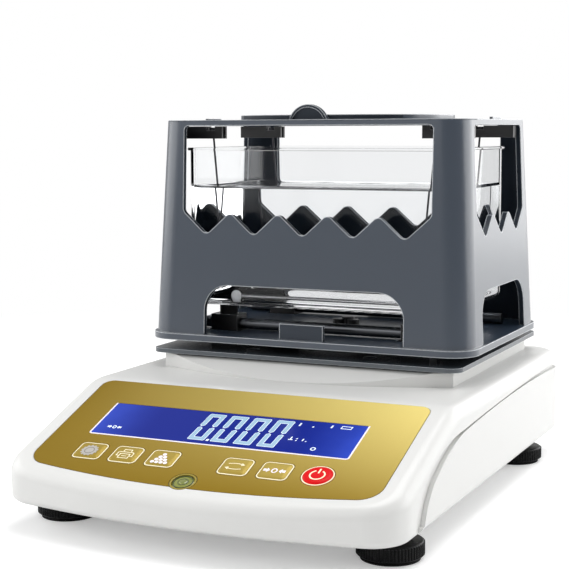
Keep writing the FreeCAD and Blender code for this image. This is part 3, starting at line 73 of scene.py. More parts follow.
class Wires:
    # short calls for the nodes and links of one tree
    def __init__(self, tree):
        self.tree = tree

    def link(self, source, target):
        self.tree.links.new(source, target)

    def fill(self, sockets, sources):
        # links what comes from a socket, and sets what is a plain value
        for key, source in sources.items():
            for one in source if isinstance(source, list) else [source]:
                if isinstance(one, bpy.types.NodeSocket):
                    self.link(one, sockets[key])
                else:
                    sockets[key].default_value = one

    def node(self, kind, sources=None, **settings):
        made = self.tree.nodes.new(kind)
        for key, value in settings.items():
            setattr(made, key, value)
        self.fill(made.inputs, sources or {})
        return made

    def math(self, operation, first, second=0.0):
        return self.node("ShaderNodeMath", {0: first, 1: second}, operation=operation).outputs[0]

    def plus(self, first, second):
        return self.math("ADD", first, second)

    def minus(self, first, second):
        return self.math("SUBTRACT", first, second)

    def times(self, first, *others):
        for other in others:
            first = self.math("MULTIPLY", first, other)
        return first

    def vector(self, operation, first, second=(0, 0, 0)):
        made = self.node("ShaderNodeVectorMath", {0: first, 1: second}, operation=operation)
        return made.outputs["Value" if operation in ("DOT_PRODUCT", "LENGTH") else "Vector"]

    def span(self, value, fromLow, fromHigh, toLow, toHigh):
        return self.node("ShaderNodeMapRange", {
            "Value": value, "From Min": fromLow, "From Max": fromHigh, "To Min": toLow,
            "To Max": toHigh}).outputs["Result"]

    def ramp(self, share, start, end):
        return self.span(share, 0.0, 1.0, start, end)

    def mix(self, factor, first, second):
        return self.node("ShaderNodeMix", {0: factor, 6: first, 7: second},
                         data_type="RGBA").outputs[2]

    def place(self):
        return self.node("ShaderNodeTexCoord").outputs["Object"]

    def parts(self, vector):
        return self.node("ShaderNodeSeparateXYZ", {"Vector": vector}).outputs

    def noise(self, vector, scale, detail, roughness=0.5):
        return self.node("ShaderNodeTexNoise", {"Vector": vector, "Scale": scale, "Detail": detail,
                                                "Roughness": roughness}).outputs["Fac"]

    def normal(self):
        return self.node("ShaderNodeNewGeometry").outputs["Normal"]

    def soft(self, radius, samples=6):
        # the normal as if the edges were rounded
        return self.node("ShaderNodeBevel", {"Radius": radius}, samples=samples).outputs["Normal"]

    def edges(self, soft, limit, tone):
        # rises to tone where the softened normal leaves the plain one
        return self.span(self.vector("DOT_PRODUCT", soft, self.normal()), 0.995, limit, 0.0, tone)

    def surface(self, factor, first, second):
        # two shaders in one, on the material's surface
        both = self.node("ShaderNodeMixShader", {0: factor, 1: first, 2: second})
        self.link(both.outputs["Shader"], self.tree.nodes["Material Output"].inputs["Surface"])

    def xyz(self, **parts):
        return self.node("ShaderNodeCombineXYZ", parts).outputs["Vector"]

    def moved(self, mesh, offset, **more):
        return self.node("GeometryNodeTransform", {"Geometry": mesh, "Translation": offset,
                                                   **more}).outputs["Geometry"]

    def cylinder(self, vertices, radius, depth):
        return self.node("GeometryNodeMeshCylinder", {
            "Vertices": vertices, "Radius": radius, "Depth": depth}).outputs["Mesh"]

    def cube(self, size):
        return self.node("GeometryNodeMeshCube", {"Size": size}).outputs["Mesh"]

    def join(self, meshes):
        return self.node("GeometryNodeJoinGeometry", {"Geometry": meshes}).outputs["Geometry"]

    def carve(self, mesh, tools, crossing=False):
        return self.node("GeometryNodeMeshBoolean", {
            "Mesh 1": mesh, "Mesh 2": tools, "Self Intersection": crossing},
            operation="DIFFERENCE", solver="EXACT").outputs["Mesh"]

    def scatter(self, points, instance, **more):
        return self.node("GeometryNodeInstanceOnPoints", {
            "Points": points, "Instance": instance, **more}).outputs["Instances"]


def newMaterial(name):
    material = bpy.data.materials.new(name)
    material.use_nodes = True
    return material, Wires(material.node_tree), material.node_tree.nodes["Principled BSDF"]


def plainMesh(name, points, faces=()):
    mesh = bpy.data.meshes.new(name)
    mesh.from_pydata(points, [], list(faces))
    return mesh


# camera, studio and light, in metres
cameraSet = {"place": (0.29596, -0.66373, 0.18941), "azimuth": 25.01, "pitch": 6.37,
             "roll": -0.21, "lens": 87.475, "sensor": 36.0}
studio = {"worldLight": 0.46, "background": 1.0, "floorSpan": 6.0, "floorLift": 0.30,
          "floorTone": 0.86, "fadeFrom": 0.28, "fadeTo": 0.75}
lamps = {
    "lampRight": {"place": (0.85, 0.88, 0.46), "aim": (0, 0.05, 0.10), "span": (1.95, 0.9),
                  "watts": 11.5},
    "lampLeft": {"place": (-1.1, -0.25, 0.5), "aim": (0, 0.03, 0.10), "span": (1.4, 0.9),
                 "watts": 7.0},
    "lampFront": {"place": (-0.45, -1.25, 0.75), "aim": (0, 0, 0.08), "span": (1.0, 0.8),
                  "watts": 3.0},
    "lampTop": {"place": (0.12, 0.25, 1.25), "aim": (0, 0.0, 0.06), "span": (0.9, 0.9),
                "watts": 10.5},
}


def makeCamera():
    data = bpy.data.cameras.new("studioCamera")
    data.lens = cameraSet["lens"]
    data.sensor_width = cameraSet["sensor"]
    data.clip_start = 0.01
    data.clip_end = 50
    camera = bpy.data.objects.new("studioCamera", data)
    pose = Matrix.Translation(cameraSet["place"])
    for angle, axis in ((cameraSet["azimuth"], "Z"), (90 - cameraSet["pitch"], "X"),
                        (cameraSet["roll"], "Z")):
        pose = pose @ Matrix.Rotation(math.radians(angle), 4, axis)
    camera.matrix_world = pose
    bpy.context.scene.collection.objects.link(camera)
    bpy.context.scene.camera = camera


def makeLamps():
    for name, lamp in lamps.items():
        data = bpy.data.lights.new(name, "AREA")
        data.shape = "RECTANGLE"
        data.size, data.size_y = lamp["span"]
        data.energy = lamp["watts"]
        place = Vector(lamp["place"])
        obj = bpy.data.objects.new(name, data)
        obj.location = place
        obj.rotation_euler = (Vector(lamp["aim"]) - place).to_track_quat("-Z", "Y").to_euler()
        bpy.context.scene.collection.objects.link(obj)


def seenDirectly(put):
    # 1 for rays that show the background, straight on or through clear stuff
    path = put.node("ShaderNodeLightPath").outputs
    return put.math("MAXIMUM", path["Is Camera Ray"], path["Is Transmission Ray"])


def makeWorld():
    world = bpy.data.worlds.new("studioWorld")
    bpy.context.scene.world = world
    world.use_nodes = True
    put = Wires(world.node_tree)
    put.fill(put.tree.nodes["Background"].inputs, {
        "Color": (1, 1, 1, 1),
        "Strength": put.ramp(seenDirectly(put), studio["worldLight"], studio["background"])})


def makeFloor():
    half = studio["floorSpan"] / 2
    mesh = plainMesh("studioFloor", [(-half, -half, 0), (half, -half, 0), (half, half, 0),
                                     (-half, half, 0)], [(0, 1, 2, 3)])
    floor = bpy.data.objects.new("studioFloor", mesh)
    bpy.context.scene.collection.objects.link(floor)
    material, put, shader = newMaterial("paleFloor")
    seen = seenDirectly(put)
    put.fill(shader.inputs, {
        "Base Color": (studio["floorTone"],) * 3 + (1,), "Roughness": 0.7,
        "Specular IOR Level": 0.1, "Emission Color": (1, 1, 1, 1),
        "Emission Strength": put.ramp(seen, 0.0, studio["floorLift"])})
    # the floor melts into the white far from the part
    fade = put.span(put.vector("LENGTH", put.place()), studio["fadeFrom"], studio["fadeTo"], 0.0, 1.0)
    plain = put.node("ShaderNodeEmission").outputs["Emission"]
    put.surface(put.times(fade, seen), shader.outputs["BSDF"], plain)
    mesh.materials.append(material)


makeCamera()
makeLamps()
makeWorld()
makeFloor()
bpy.context.scene.view_settings.view_transform = "Standard"
print("studio ready")


# node groups
def socketKind(value):
    if isinstance(value, str):
        return value
    if isinstance(value, tuple):
        return "NodeSocketColor" if len(value) == 4 else "NodeSocketVector"
    return "NodeSocketInt" if isinstance(value, int) else "NodeSocketFloat"


def newGroup(kind, name, inputs, outputs):
    # an input is a name and its starting value, or its kind if it has none
    group = bpy.data.node_groups.new(name, kind)
    for way, sockets in (("INPUT", inputs), ("OUTPUT", outputs)):
        for title, value in sockets.items():
            socket = group.interface.new_socket(title, in_out=way, socket_type=socketKind(value))
            if not isinstance(value, str):
                socket.default_value = value
    take, give = group.nodes.new("NodeGroupInput"), group.nodes.new("NodeGroupOutput")
    return Wires(group), take.outputs, give.inputs


skinOutputs = {"Color": "NodeSocketColor", "Roughness": "NodeSocketFloat",
               "Normal": "NodeSocketVector"}


def makeMouldGroup():
    # moulded or painted skin: fine grain, broad mottling, a painted highlight on outer edges and
    # painted shade in creases and wherever Tone is below one
    put, take, give = newGroup("ShaderNodeTree", "mouldSkin", {
        "Color": (0.5, 0.5, 0.5, 1), "Mottle": 0.04, "Grain Scale": 2500.0, "Grain": 0.1,
        "Roughness": 0.4, "Smudge": 0.08, "Edge Radius": 0.0004, "Edge Tone": 0.3, "Tone": 1.0,
        "Edge Color": (0.8, 0.84, 0.88, 1)}, skinOutputs)
    place = put.place()
    grain = put.noise(place, take["Grain Scale"], 3.0)
    broad = put.noise(place, 22.0, 4.0, 0.62)
    soft = put.soft(take["Edge Radius"])
    # ambient occlusion, low in creases, where the painted shade goes and the painted edge highlight
    # stops
    crease = put.node("ShaderNodeAmbientOcclusion", {"Distance": 0.002}, samples=6).outputs["AO"]
    # painted highlight: a pale line along outer edges, as strong as Edge Tone
    lit = put.times(put.edges(soft, 0.86, 1.0), put.span(crease, 0.6, 0.85, 0.0, 1.0),
                    take["Edge Tone"])
    cloud = put.times(put.minus(broad, 0.5), take["Mottle"], 4.0)
    # painted shade: Tone and the creases darken the colour
    shade = put.times(take["Tone"], put.span(crease, 0.2, 0.7, 0.8, 1.0))
    plain = put.node("ShaderNodeHueSaturation", {
        "Color": take["Color"], "Value": put.times(put.plus(1.0, cloud), shade)})
    smudge = put.times(put.minus(broad, 0.45), take["Smudge"], 4.0)
    bump = put.node("ShaderNodeBump", {"Strength": take["Grain"], "Distance": 0.0001,
                                       "Height": grain, "Normal": soft})
    put.fill(give, {"Color": put.mix(lit, plain.outputs["Color"], take["Edge Color"]),
                    "Roughness": put.plus(take["Roughness"], smudge),
                    "Normal": bump.outputs["Normal"]})
    return put.tree


def makeBrushGroup():
    # drawn metal: fine streaks across one direction, over a soft cloudiness
    put, take, give = newGroup("ShaderNodeTree", "brushedSkin", {
        "Color": (0.6, 0.6, 0.6, 1), "Streaks": (40.0, 4000.0, 4000.0), "Contrast": 0.1,
        "Roughness": 0.3, "Relief": 0.05, "Edge Radius": 0.0002}, skinOutputs)
    place = put.place()
    streaks = put.noise(put.vector("MULTIPLY", place, take["Streaks"]), 1.0, 2.0)
    clouds = put.noise(place, 35.0, 3.0)
    both = put.plus(put.minus(streaks, 0.5), put.times(put.minus(clouds, 0.5), 0.6))
    change = put.times(both, take["Contrast"])
    tinted = put.node("ShaderNodeHueSaturation", {
        "Color": take["Color"], "Value": put.plus(1.0, change)})
    bump = put.node("ShaderNodeBump", {"Strength": take["Relief"], "Distance": 0.0001,
                                       "Height": streaks, "Normal": put.soft(take["Edge Radius"])})
    put.fill(give, {"Color": tinted.outputs["Color"], "Normal": bump.outputs["Normal"],
                    "Roughness": put.plus(take["Roughness"], put.times(change, 0.8))})
    return put.tree


mouldGroup = makeMouldGroup()
brushGroup = makeBrushGroup()


# materials; the sizes in them are in metres, as a shader sees them; Edge_Tone sets how strong each
# one's painted edge highlight is, and each moulded one has painted shade in its creases
def skinned(name, group, color, values):
    # a value goes to the group where it has such a socket, and else to the shader
    material, put, shader = newMaterial(name)
    finish = put.node("ShaderNodeGroup", node_tree=group)
    for key, value in dict(values, Color=color).items():
        title = key.replace("_", " ")
        target = finish if title in finish.inputs else shader
        target.inputs[title].default_value = value
    put.fill(shader.inputs, {"Base Color": finish.outputs["Color"], "Normal": finish.outputs["Normal"],
                             "Roughness": finish.outputs["Roughness"]})
    return material, put, finish, shader


def moulded(name, color, **values):
    return skinned(name, mouldGroup, linear(*color), values)[0]


def metal(name, color, **values):
    return skinned(name, brushGroup, linear(*color), dict(values, Metallic=1.0))[0]


def printed(name, color, **values):
    # a thin flat print
    flat = {"Roughness": 0.4, "Grain": 0.02, "Mottle": 0.03, "Edge_Radius": 0.0001,
            "Edge_Tone": 0.05}
    return moulded(name, color, **dict(flat, **values))


def clearStuff(name, color, ior):
    # glass-like: rays that only cast shadow pass straight through
    material, put, shader = newMaterial(name)
    ripple = put.noise(put.place(), 30.0, 1.0)
    bump = put.node("ShaderNodeBump", {"Strength": 0.015, "Distance": 0.0005, "Height": ripple})
    put.fill(shader.inputs, {
        "Normal": bump.outputs["Normal"], "Roughness": put.span(ripple, 0.3, 0.7, 0.0, 0.02),
        "Base Color": color, "IOR": ior, "Transmission Weight": 1.0})
    through = put.node("ShaderNodeBsdfTransparent", {"Color": (0.93, 0.95, 0.96, 1)})
    put.surface(put.node("ShaderNodeLightPath").outputs["Is Shadow Ray"], shader.outputs["BSDF"],
                through.outputs["BSDF"])
    return material


# how far the painted reflection spreads across and up the film, and the colour of the painted shade on
# the rim
goldSet = {"left": -0.09, "right": 0.09, "front": -0.135, "back": -0.057, "rim": (70, 58, 20)}


def goldWithPaintedSheen(name, deep, pale, lift=0.0, rimTone=0.0):
    # satin gold film, paler towards the right and up the slope as a painted reflection, with a darker
    # rim if asked as painted shade along its edge
    material, put, finish = skinned(name, brushGroup, linear(*deep), dict(
        Streaks=(2600.0, 2600.0, 2600.0), Contrast=0.07, Roughness=0.5, Relief=0.02,
        Edge_Radius=0.0002, Metallic=0.35, Specular_IOR_Level=0.25))[:3]
    # painted reflection: the colour blends from deep to pale towards the right and up the slope
    place = put.parts(put.place())
    across = put.span(place["X"], goldSet["left"], goldSet["right"], 0.0, 1.0)
    along = put.span(place["Y"], goldSet["front"], goldSet["back"], 0.0, 1.0)
    gold = put.mix(put.plus(put.times(across, along), lift), linear(*deep), linear(*pale))
    # painted shade: the rim darkens towards the rim colour
    rim = put.edges(put.soft(0.0003, 4), 0.9, rimTone)
    put.link(put.mix(rim, gold, linear(*goldSet["rim"])), finish.inputs["Color"])
    return material


# heights and depths from the frame's box, and how dark the painted shade on the tab and the sills is
paintedShadeSet = {"tabDrop": 0.0085, "tabDepth": 0.03, "tabShade": 0.75, "sillHalf": 0.0126,
            "sillTop": 0.0126, "sillBottom": 0.0038, "sillShade": 0.6}


def frameWithPaintedLight(name, color):
    # slate moulding of the weighing frame, darker on its inward faces, its tab and its sills as
    # painted shade, with a strong painted highlight on its edges
    material, put, finish, shader = skinned(name, mouldGroup, linear(*color), dict(
        Grain=0.08, Grain_Scale=1800.0, Mottle=0.008, Smudge=0.012, Edge_Radius=0.0009,
        Edge_Tone=1.0, Coat_Roughness=0.28))
    low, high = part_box("weighing_frame")
    middle = ((low.x + high.x) / 2, (low.y + high.y) / 2, 0)
    place, normal = put.place(), put.normal()
    spot = put.parts(place)
    level = put.vector("MULTIPLY", put.vector("SUBTRACT", place, middle), (1, 1, 0))
    facing = put.vector("DOT_PRODUCT", normal, put.vector("NORMALIZE", level))
    # painted shade on faces that look inwards, save those that face up
    inner = put.times(put.span(facing, 0.1, 0.4, 1.0, 0.0),
                      put.span(put.parts(normal)["Z"], 0.8, 0.95, 1.0, 0.0))

    def above(value, limit):
        return put.math("GREATER_THAN", value, limit)

    def below(value, limit):
        return put.math("LESS_THAN", value, limit)

    # painted shade on the top front, round the tab
    tab = put.times(above(spot["Z"], high.z - paintedShadeSet["tabDrop"]),
                    below(spot["Y"], low.y + paintedShadeSet["tabDepth"]), paintedShadeSet["tabShade"])
    # painted shade on the sills, low down in the middle
    aside = put.math("ABSOLUTE", put.minus(spot["X"], middle[0]))
    sill = put.times(below(aside, paintedShadeSet["sillHalf"]),
                     below(spot["Z"], low.z + paintedShadeSet["sillTop"]),
                     above(spot["Z"], low.z + paintedShadeSet["sillBottom"]), paintedShadeSet["sillShade"])
    # the painted shade darkens the colour and also dulls the gloss
    dark = put.math("MAXIMUM", put.math("MAXIMUM", inner, sill), tab)
    put.fill(finish.inputs, {"Tone": put.ramp(dark, 1.0, 0.35),
                             "Roughness": put.ramp(dark, 0.3, 0.75)})
    put.fill(shader.inputs, {"Specular IOR Level": put.ramp(dark, 0.9, 0.25),
                             "Coat Weight": put.ramp(dark, 0.5, 0.0)})
    return material


displaySet = {"reach": 0.03, "curve": 1.6, "black": 0.85, "light": 0.6, "roughness": 0.12,
              "specular": 0.1}


def litDisplay(name, deep, glow):
    # backlit blue glass, brighter towards its two short ends
    material, put, shader = newMaterial(name)
    place = put.place()
    across = put.parts(place)["X"]
    gaps = [put.math("ABSOLUTE", put.minus(across, end.x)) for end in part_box("lcd_window")]
    near = put.span(put.math("MINIMUM", *gaps), 0.0, displaySet["reach"], 1.0, 0.0)
    cloud = put.span(put.noise(place, 60.0, 2.0), 0.3, 0.7, 0.7, 1.0)
    share = put.times(put.math("POWER", near, displaySet["curve"]), cloud)
    color = put.mix(share, linear(*deep), linear(*glow))
    put.fill(shader.inputs, {
        "Base Color": put.mix(displaySet["black"], color, (0, 0, 0, 1)), "Emission Color": color,
        "Emission Strength": displaySet["light"], "Roughness": displaySet["roughness"],
        "Specular IOR Level": displaySet["specular"]})
    return material


finishes = {
    "white_shell": moulded("whiteShell", (226, 226, 224), Coat_Weight=0.15, Coat_Roughness=0.15,
                           Specular_IOR_Level=0.3, Roughness=0.32, Grain=0.05, Mottle=0.006,
                           Smudge=0.05, Edge_Radius=0.0005, Edge_Tone=0.02),
    "gold_film": goldWithPaintedSheen("goldFilm", (142, 114, 10), (240, 220, 132), rimTone=0.8),
    "red_key": moulded("redKey", (222, 6, 14), Specular_IOR_Level=0.15, Roughness=0.4, Grain=0.04,
                       Mottle=0.02, Edge_Radius=0.0003, Edge_Tone=0.05),
    "display_glass": litDisplay("displayGlass", (36, 54, 168), (68, 98, 236)),
    "display_blue": litDisplay("displayModule", (30, 42, 140), (60, 80, 220)),
    "board_green": moulded("boardGreen", (20, 96, 52), Coat_Weight=0.4, Roughness=0.4,
                           Grain_Scale=900.0, Grain=0.25, Mottle=0.06, Edge_Tone=0.4),
    "black_plastic": moulded("blackPlastic", (16, 16, 18), Roughness=0.36, Grain=0.12, Mottle=0.05,
                             Edge_Radius=0.0003, Edge_Tone=0.25),
    # the vial glows faintly: a painted glow
    "vial_green": moulded("vialGreen", (128, 132, 46), Coat_Weight=1.0, Coat_Roughness=0.03,
                          Emission_Strength=0.05, Emission_Color=linear(170, 190, 70),
                          Roughness=0.15, Grain=0.0, Mottle=0.05, Edge_Radius=0.0003,
                          Edge_Tone=0.3),
    "slate_plastic": frameWithPaintedLight("slatePlastic", (38, 52, 69)),
    # a strong painted highlight on the plate's edges
    "slate_plate": moulded("slatePlate", (72, 79, 86), Specular_IOR_Level=0.8, Roughness=0.2,
                           Grain=0.06, Grain_Scale=2200.0, Mottle=0.03, Edge_Radius=0.0004,
                           Edge_Tone=0.8),
    "steel": metal("drawnSteel", (190, 190, 192), Contrast=0.16, Roughness=0.26),
    "alloy": metal("millAlloy", (200, 202, 205), Streaks=(4000.0, 60.0, 4000.0), Contrast=0.14,
                   Roughness=0.36),
    "brass_nut": metal("turnedBrass", (205, 165, 88), Streaks=(60.0, 60.0, 5000.0), Contrast=0.14,
                       Roughness=0.25),
    "rubber_black": moulded("rubberBlack", (14, 14, 14), Specular_IOR_Level=0.2, Roughness=0.72,
                            Grain=0.5, Grain_Scale=1500.0, Mottle=0.05, Edge_Tone=0.5),
    "clear_acrylic": clearStuff("clearAcrylic", (0.932, 0.937, 0.942, 1), 1.15),
    "battery_grey": moulded("batteryGrey", (66, 72, 84), Roughness=0.5, Grain=0.2, Mottle=0.06,
                            Edge_Tone=0.4),
}
# the cream and the pale print glow faintly: a painted glow
creamPrint = printed("creamPrint", (250, 240, 205), Emission_Color=linear(250, 238, 200),
                     Emission_Strength=0.12, Mottle=0.01, Edge_Tone=0.1)
palePrint = printed("palePrint", (242, 236, 244), Emission_Color=linear(236, 228, 240),
                    Emission_Strength=0.15, Mottle=0.02)
silverPrint = printed("silverPrint", (186, 182, 176))
greyPrint = printed("greyPrint", (136, 128, 120))
digitEdge = printed("digitEdge", (236, 248, 255), Emission_Color=linear(225, 240, 255),
                    Emission_Strength=0.35, Roughness=0.3, Grain=0.0, Mottle=0.01)
digitFill = printed("digitFill", (150, 182, 204), Emission_Color=linear(160, 195, 222),
                    Emission_Strength=0.2, Roughness=0.3, Grain=0.0)
keyGold = goldWithPaintedSheen("keyGold", (148, 120, 20), (240, 220, 130), 0.12)
trim = {"Roughness": 0.3, "Grain": 0.03, "Mottle": 0.05, "Edge_Radius": 0.0002, "Edge_Tone": 0.1}
levelRim = moulded("levelRim", (158, 140, 46), **trim)
levelLine = moulded("levelLine", (58, 74, 30), **trim)
bubbleGreen = moulded("bubbleGreen", (122, 130, 58), Coat_Weight=1.0, Coat_Roughness=0.02,
                      Roughness=0.12, Grain=0.0, Mottle=0.03, Edge_Radius=0.0002, Edge_Tone=0.2)
footBlack = moulded("footBlack", (6, 6, 7), Specular_IOR_Level=0.16, Roughness=0.25, Grain=0.08,
                    Mottle=0.05, Edge_Radius=0.0003, Edge_Tone=0.06)
# the probe's bulb glows faintly: a painted glow
probeBulb = moulded("probeBulb", (236, 238, 240), Coat_Weight=0.6, Roughness=0.2, Grain=0.02,
                    Emission_Color=linear(240, 242, 245), Emission_Strength=0.12, Mottle=0.03,
                    Edge_Radius=0.0002, Edge_Tone=0.1)
clearWater = clearStuff("clearWater", (0.99, 0.995, 1.0, 1), 1.333)
airBubble = clearStuff("airBubble", (1.0, 1.0, 1.0, 1), 1.02)
darkWire = metal("darkWire", (60, 60, 64), Contrast=0.1, Roughness=0.35)
# steel darkened as painted shade, for the rods low in the frame
paintedShadeRod = metal("paintedShadeRod", (96, 98, 102), Contrast=0.12, Roughness=0.3)
print("materials ready")


# making helpers
def finished(work, name):
    # turns a drawn shape into a mesh
    bmesh.ops.remove_doubles(work, verts=work.verts, dist=0.0001)
    bmesh.ops.recalc_face_normals(work, faces=work.faces)
    mesh = bpy.data.meshes.new(name)
    work.to_mesh(mesh)
    work.free()
    return mesh


def makePiece(name, shape, materials, body, instead=(), angle=34):
    mesh = shape if isinstance(shape, bpy.types.Mesh) else finished(shape, name)
    mesh.transform(Matrix.Scale(mm, 4))
    for material in materials:
        mesh.materials.append(material)
    piece = bpy.data.objects.new(name, mesh)
    bpy.context.scene.collection.objects.link(piece)
    mesh.shade_smooth()
    mesh.set_sharp_from_angle(angle=math.radians(angle))
    if body:
        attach(piece, body)
    if instead:
        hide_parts(*instead)
    return piece


def circleLoop(radius, count):
    return [Vector((radius * math.cos(2 * math.pi * k / count),
                    radius * math.sin(2 * math.pi * k / count))) for k in range(count)]


# steps round a corner, how far the points that hold the flats lie from it, and the least radius
cornerSet = {"steps": 7, "hold": 0.5, "least": 0.3}


def roundedLoop(halfX, halfY, radius):
    points = []
    steps, hold = cornerSet["steps"], cornerSet["hold"]
    for turn, (signX, signY) in enumerate(((1, 1), (-1, 1), (-1, -1), (1, -1))):
        centre = Vector((signX * (halfX - radius), signY * (halfY - radius)))
        for step in range(-1, steps + 2):
            angle = math.pi / 2 * (turn + min(max(step, 0), steps) / steps)
            ray = Vector((math.cos(angle), math.sin(angle)))
            along = Vector((-ray.y, ray.x))
            extra = -hold if step < 0 else hold if step > steps else 0.0
            points.append(centre + ray * radius + along * extra)
    return points


def loft(work, loops, capped=True, paint=None):
    # a skin over loops of equal length; paint has the material of each row
    rows = [[work.verts.new(point) for point in loop] for loop in loops]
    count = len(rows[0])
    for level in range(len(rows) - 1):
        low, high = rows[level], rows[level + 1]
        for k in range(count):
            face = work.faces.new((low[k], low[(k + 1) % count], high[(k + 1) % count], high[k]))
            face.material_index = paint[level] if paint else 0
    if capped:
        work.faces.new(list(reversed(rows[0])))
        work.faces.new(rows[-1]).material_index = paint[-1] if paint else 0


def stack(work, centre, steps):
    # rounded rectangles one above another: half width, half length, corner, height
    loops = []
    for halfX, halfY, corner, height in steps:
        loops.append([(centre[0] + p.x, centre[1] + p.y, height)
                      for p in roundedLoop(halfX, halfY, max(corner, cornerSet["least"]))])
    loft(work, loops)


# the panel's own directions, from the travel of a key
press = next(joint["axis"] for joint in record["behaviour"]["joints"]
             if joint["name"] == "key_zero_press")
outward = -Vector(press).normalized()
downSlope = Vector((0, -outward.z, outward.y))
film = {"topGap": 1.5, "thickness": 0.5}
filmTop = boxOf("panel_overlay")[1]
slopeTop = Vector((0, filmTop.y, filmTop.z)) - downSlope * film["topGap"]
slopeTop += Vector((0, film["thickness"] * outward.y, 0))


def panelLoop(points, centre, out):
    # points are x and up the slope from the centre; the centre is x and down the slope
    return [slopeTop + Vector((centre[0] + p[0], 0, 0)) + downSlope * (centre[1] - p[1])
            + outward * out for p in points]


def plate(work, points, centre, low, high):
    # a thin raised print
    loft(work, [panelLoop(points, centre, out) for out in (low, high)])


def strokeSides(points, width, closed):
    # the outer and the inner side of a line of that width
    outer, inner = [], []
    count = len(points)
    for k in range(count):
        here = Vector(points[k])
        before = Vector(points[k - 1]) if closed or k else None
        after = Vector(points[(k + 1) % count]) if closed or k < count - 1 else None
        first = (here - before).normalized() if before is not None else None
        second = (after - here).normalized() if after is not None else first
        first = first if first is not None else second
        normals = [Vector((d.y, -d.x)) for d in (first, second)]
        middle = (normals[0] + normals[1]).normalized()
        reach = width / 2 / max(middle.dot(normals[0]), 0.5)
        outer.append(here + middle * reach)
        inner.append(here - middle * reach)
    return outer, inner


def line(work, points, centre, width, low, high, closed=False):
    outer, inner = strokeSides(points, width, closed)
    if closed:
        sides = ((outer, low), (outer, high), (inner, high), (inner, low), (outer, low))
        loft(work, [panelLoop(side, centre, out) for side, out in sides], capped=False)
    else:
        plate(work, outer + list(reversed(inner)), centre, low, high)


def turned(work, centre, steps, count):
    # a round form that stands on the panel: radius, height
    loft(work, [panelLoop(circleLoop(radius, count), centre, out) for radius, out in steps])


# Geometry Nodes helpers
def newTree(name, inputs):
    geometry = {"Geometry": "NodeSocketGeometry"}
    return newGroup("GeometryNodeTree", name, dict(geometry, **inputs), geometry)


def closeTree(put, give, geometry):
    real = put.node("GeometryNodeRealizeInstances", {"Geometry": geometry})
    put.link(real.outputs["Geometry"], give["Geometry"])
    return put.tree


def treeMesh(name, tree, base, **values):
    # runs the tree on the base mesh and returns a plain mesh without materials
    holder = bpy.data.objects.new(name + "Maker", base)
    bpy.context.scene.collection.objects.link(holder)
    modifier = holder.modifiers.new("maker", "NODES")
    modifier.node_group = tree
    for item in tree.interface.items_tree:
        key = item.name.replace(" ", "_")
        if item.in_out == "INPUT" and key in values:
            modifier[item.identifier] = values[key]
    bpy.context.view_layer.update()
    ready = holder.evaluated_get(bpy.context.evaluated_depsgraph_get())
    mesh = bpy.data.meshes.new_from_object(ready)
    mesh.name = name
    mesh.materials.clear()
    mesh.polygons.foreach_set("material_index", [0] * len(mesh.polygons))
    bpy.data.objects.remove(holder)
    return mesh


# keys: the soft caps and the power key; "row" is how far down the slope they lie, and from
# "crown" to "middle", both counted inwards from the pale ring, the top is flat
keySet = {"row": 66.0, "halfWidth": 7.5, "halfLength": 6.7, "corner": 2.6, "leastCorner": 0.8,
          "powerRadius": 7.6, "flange": 1.0, "bottom": -4.15, "under": -2.6, "bevel": 0.1,
          "ring": 0.6, "groove": 0.02, "crown": 1.7, "middle": 2.1, "print": 0.07, "sink": 0.05}
hubSet = {"radius": 2.4, "line": 0.4, "lift": 0.04}
capSet = {"soft": {"rise": 0.7, "ringTop": 0.14, "shoulder": 0.9, "share": 0.72, "signDrop": 0.6},
          "power": {"rise": 0.8, "ringTop": 0.16, "shoulder": 0.8, "share": 0.7, "signDrop": 0.0}}


def gearSign(work, centre, low, high):
    teeth, outer, valley = 13, 4.5, 3.9
    rim = []
    for k in range(teeth):
        for share, radius in ((0.0, valley), (0.2, valley), (0.32, outer), (0.68, outer),
                              (0.8, valley)):
            angle = 2 * math.pi * (k + share) / teeth
            rim.append((radius * math.cos(angle), radius * math.sin(angle)))
    plate(work, rim, centre, low, high)


def printerSign(work, centre, low, high):
    width = 0.48
    body = [(-2.6, -1.5), (-4.2, -1.5), (-4.2, 1.0), (-3.4, 1.7)]
    line(work, body + [(-x, y) for x, y in reversed(body)], centre, width, low, high)
    line(work, [(-1.9, 1.7), (-1.9, 3.7), (2.1, 3.7), (2.1, 1.7)], centre, width, low, high)
    line(work, [(-2.6, 0.2), (2.6, 0.2), (2.6, -3.2), (-2.6, -3.2)], centre, width, low, high,
         closed=True)
    line(work, [(-1.4, -1.5), (1.4, -1.5)], centre, width * 0.8, low, high)


def pileSign(work, centre, low, high):
    for rank in range(4):
        for k in range(rank + 1):
            spot = (centre[0] + (k - rank / 2) * 2.3, centre[1] - 3.1 + rank * 2.15)
            plate(work, circleLoop(1.05, 14), spot, low, high)


def cycleSign(work, centre, low, high):
    # two flat bowed arrows that chase each other
    for side in (1, -1):
        bow = [(side * x * 1.1, side * (1.6 + 0.7 * math.cos(x * math.pi / 7)))
               for x in (-3.4, -2.6, -1.5, -0.4, 0.8, 2.0, 2.7)]
        line(work, bow, centre, 0.45, low, high)
        head = [(bow[-1][0] + side * x, bow[-1][1] + side * y)
                for x, y in ((1.6, -0.4), (-0.3, 1.0), (-0.3, -1.1))]
        plate(work, head, centre, low, high)


def zeroSign(work, centre, low, high, scale=1.2):
    # an arrow from each side towards a nought
    ring = [(p.x * 0.9, p.y * 1.15) for p in circleLoop(1.1 * scale, 20)]
    line(work, ring, centre, 0.56 * scale, low, high, closed=True)
    for side in (-scale, scale):
        head = [(side * x, scale * y) for x, y in (
            (1.8, 0), (3.0, 1.4), (3.1, 0.6), (4.5, 0.8), (4.5, -0.8), (3.1, -0.6), (3.0, -1.4))]
        plate(work, head, centre, low, high)


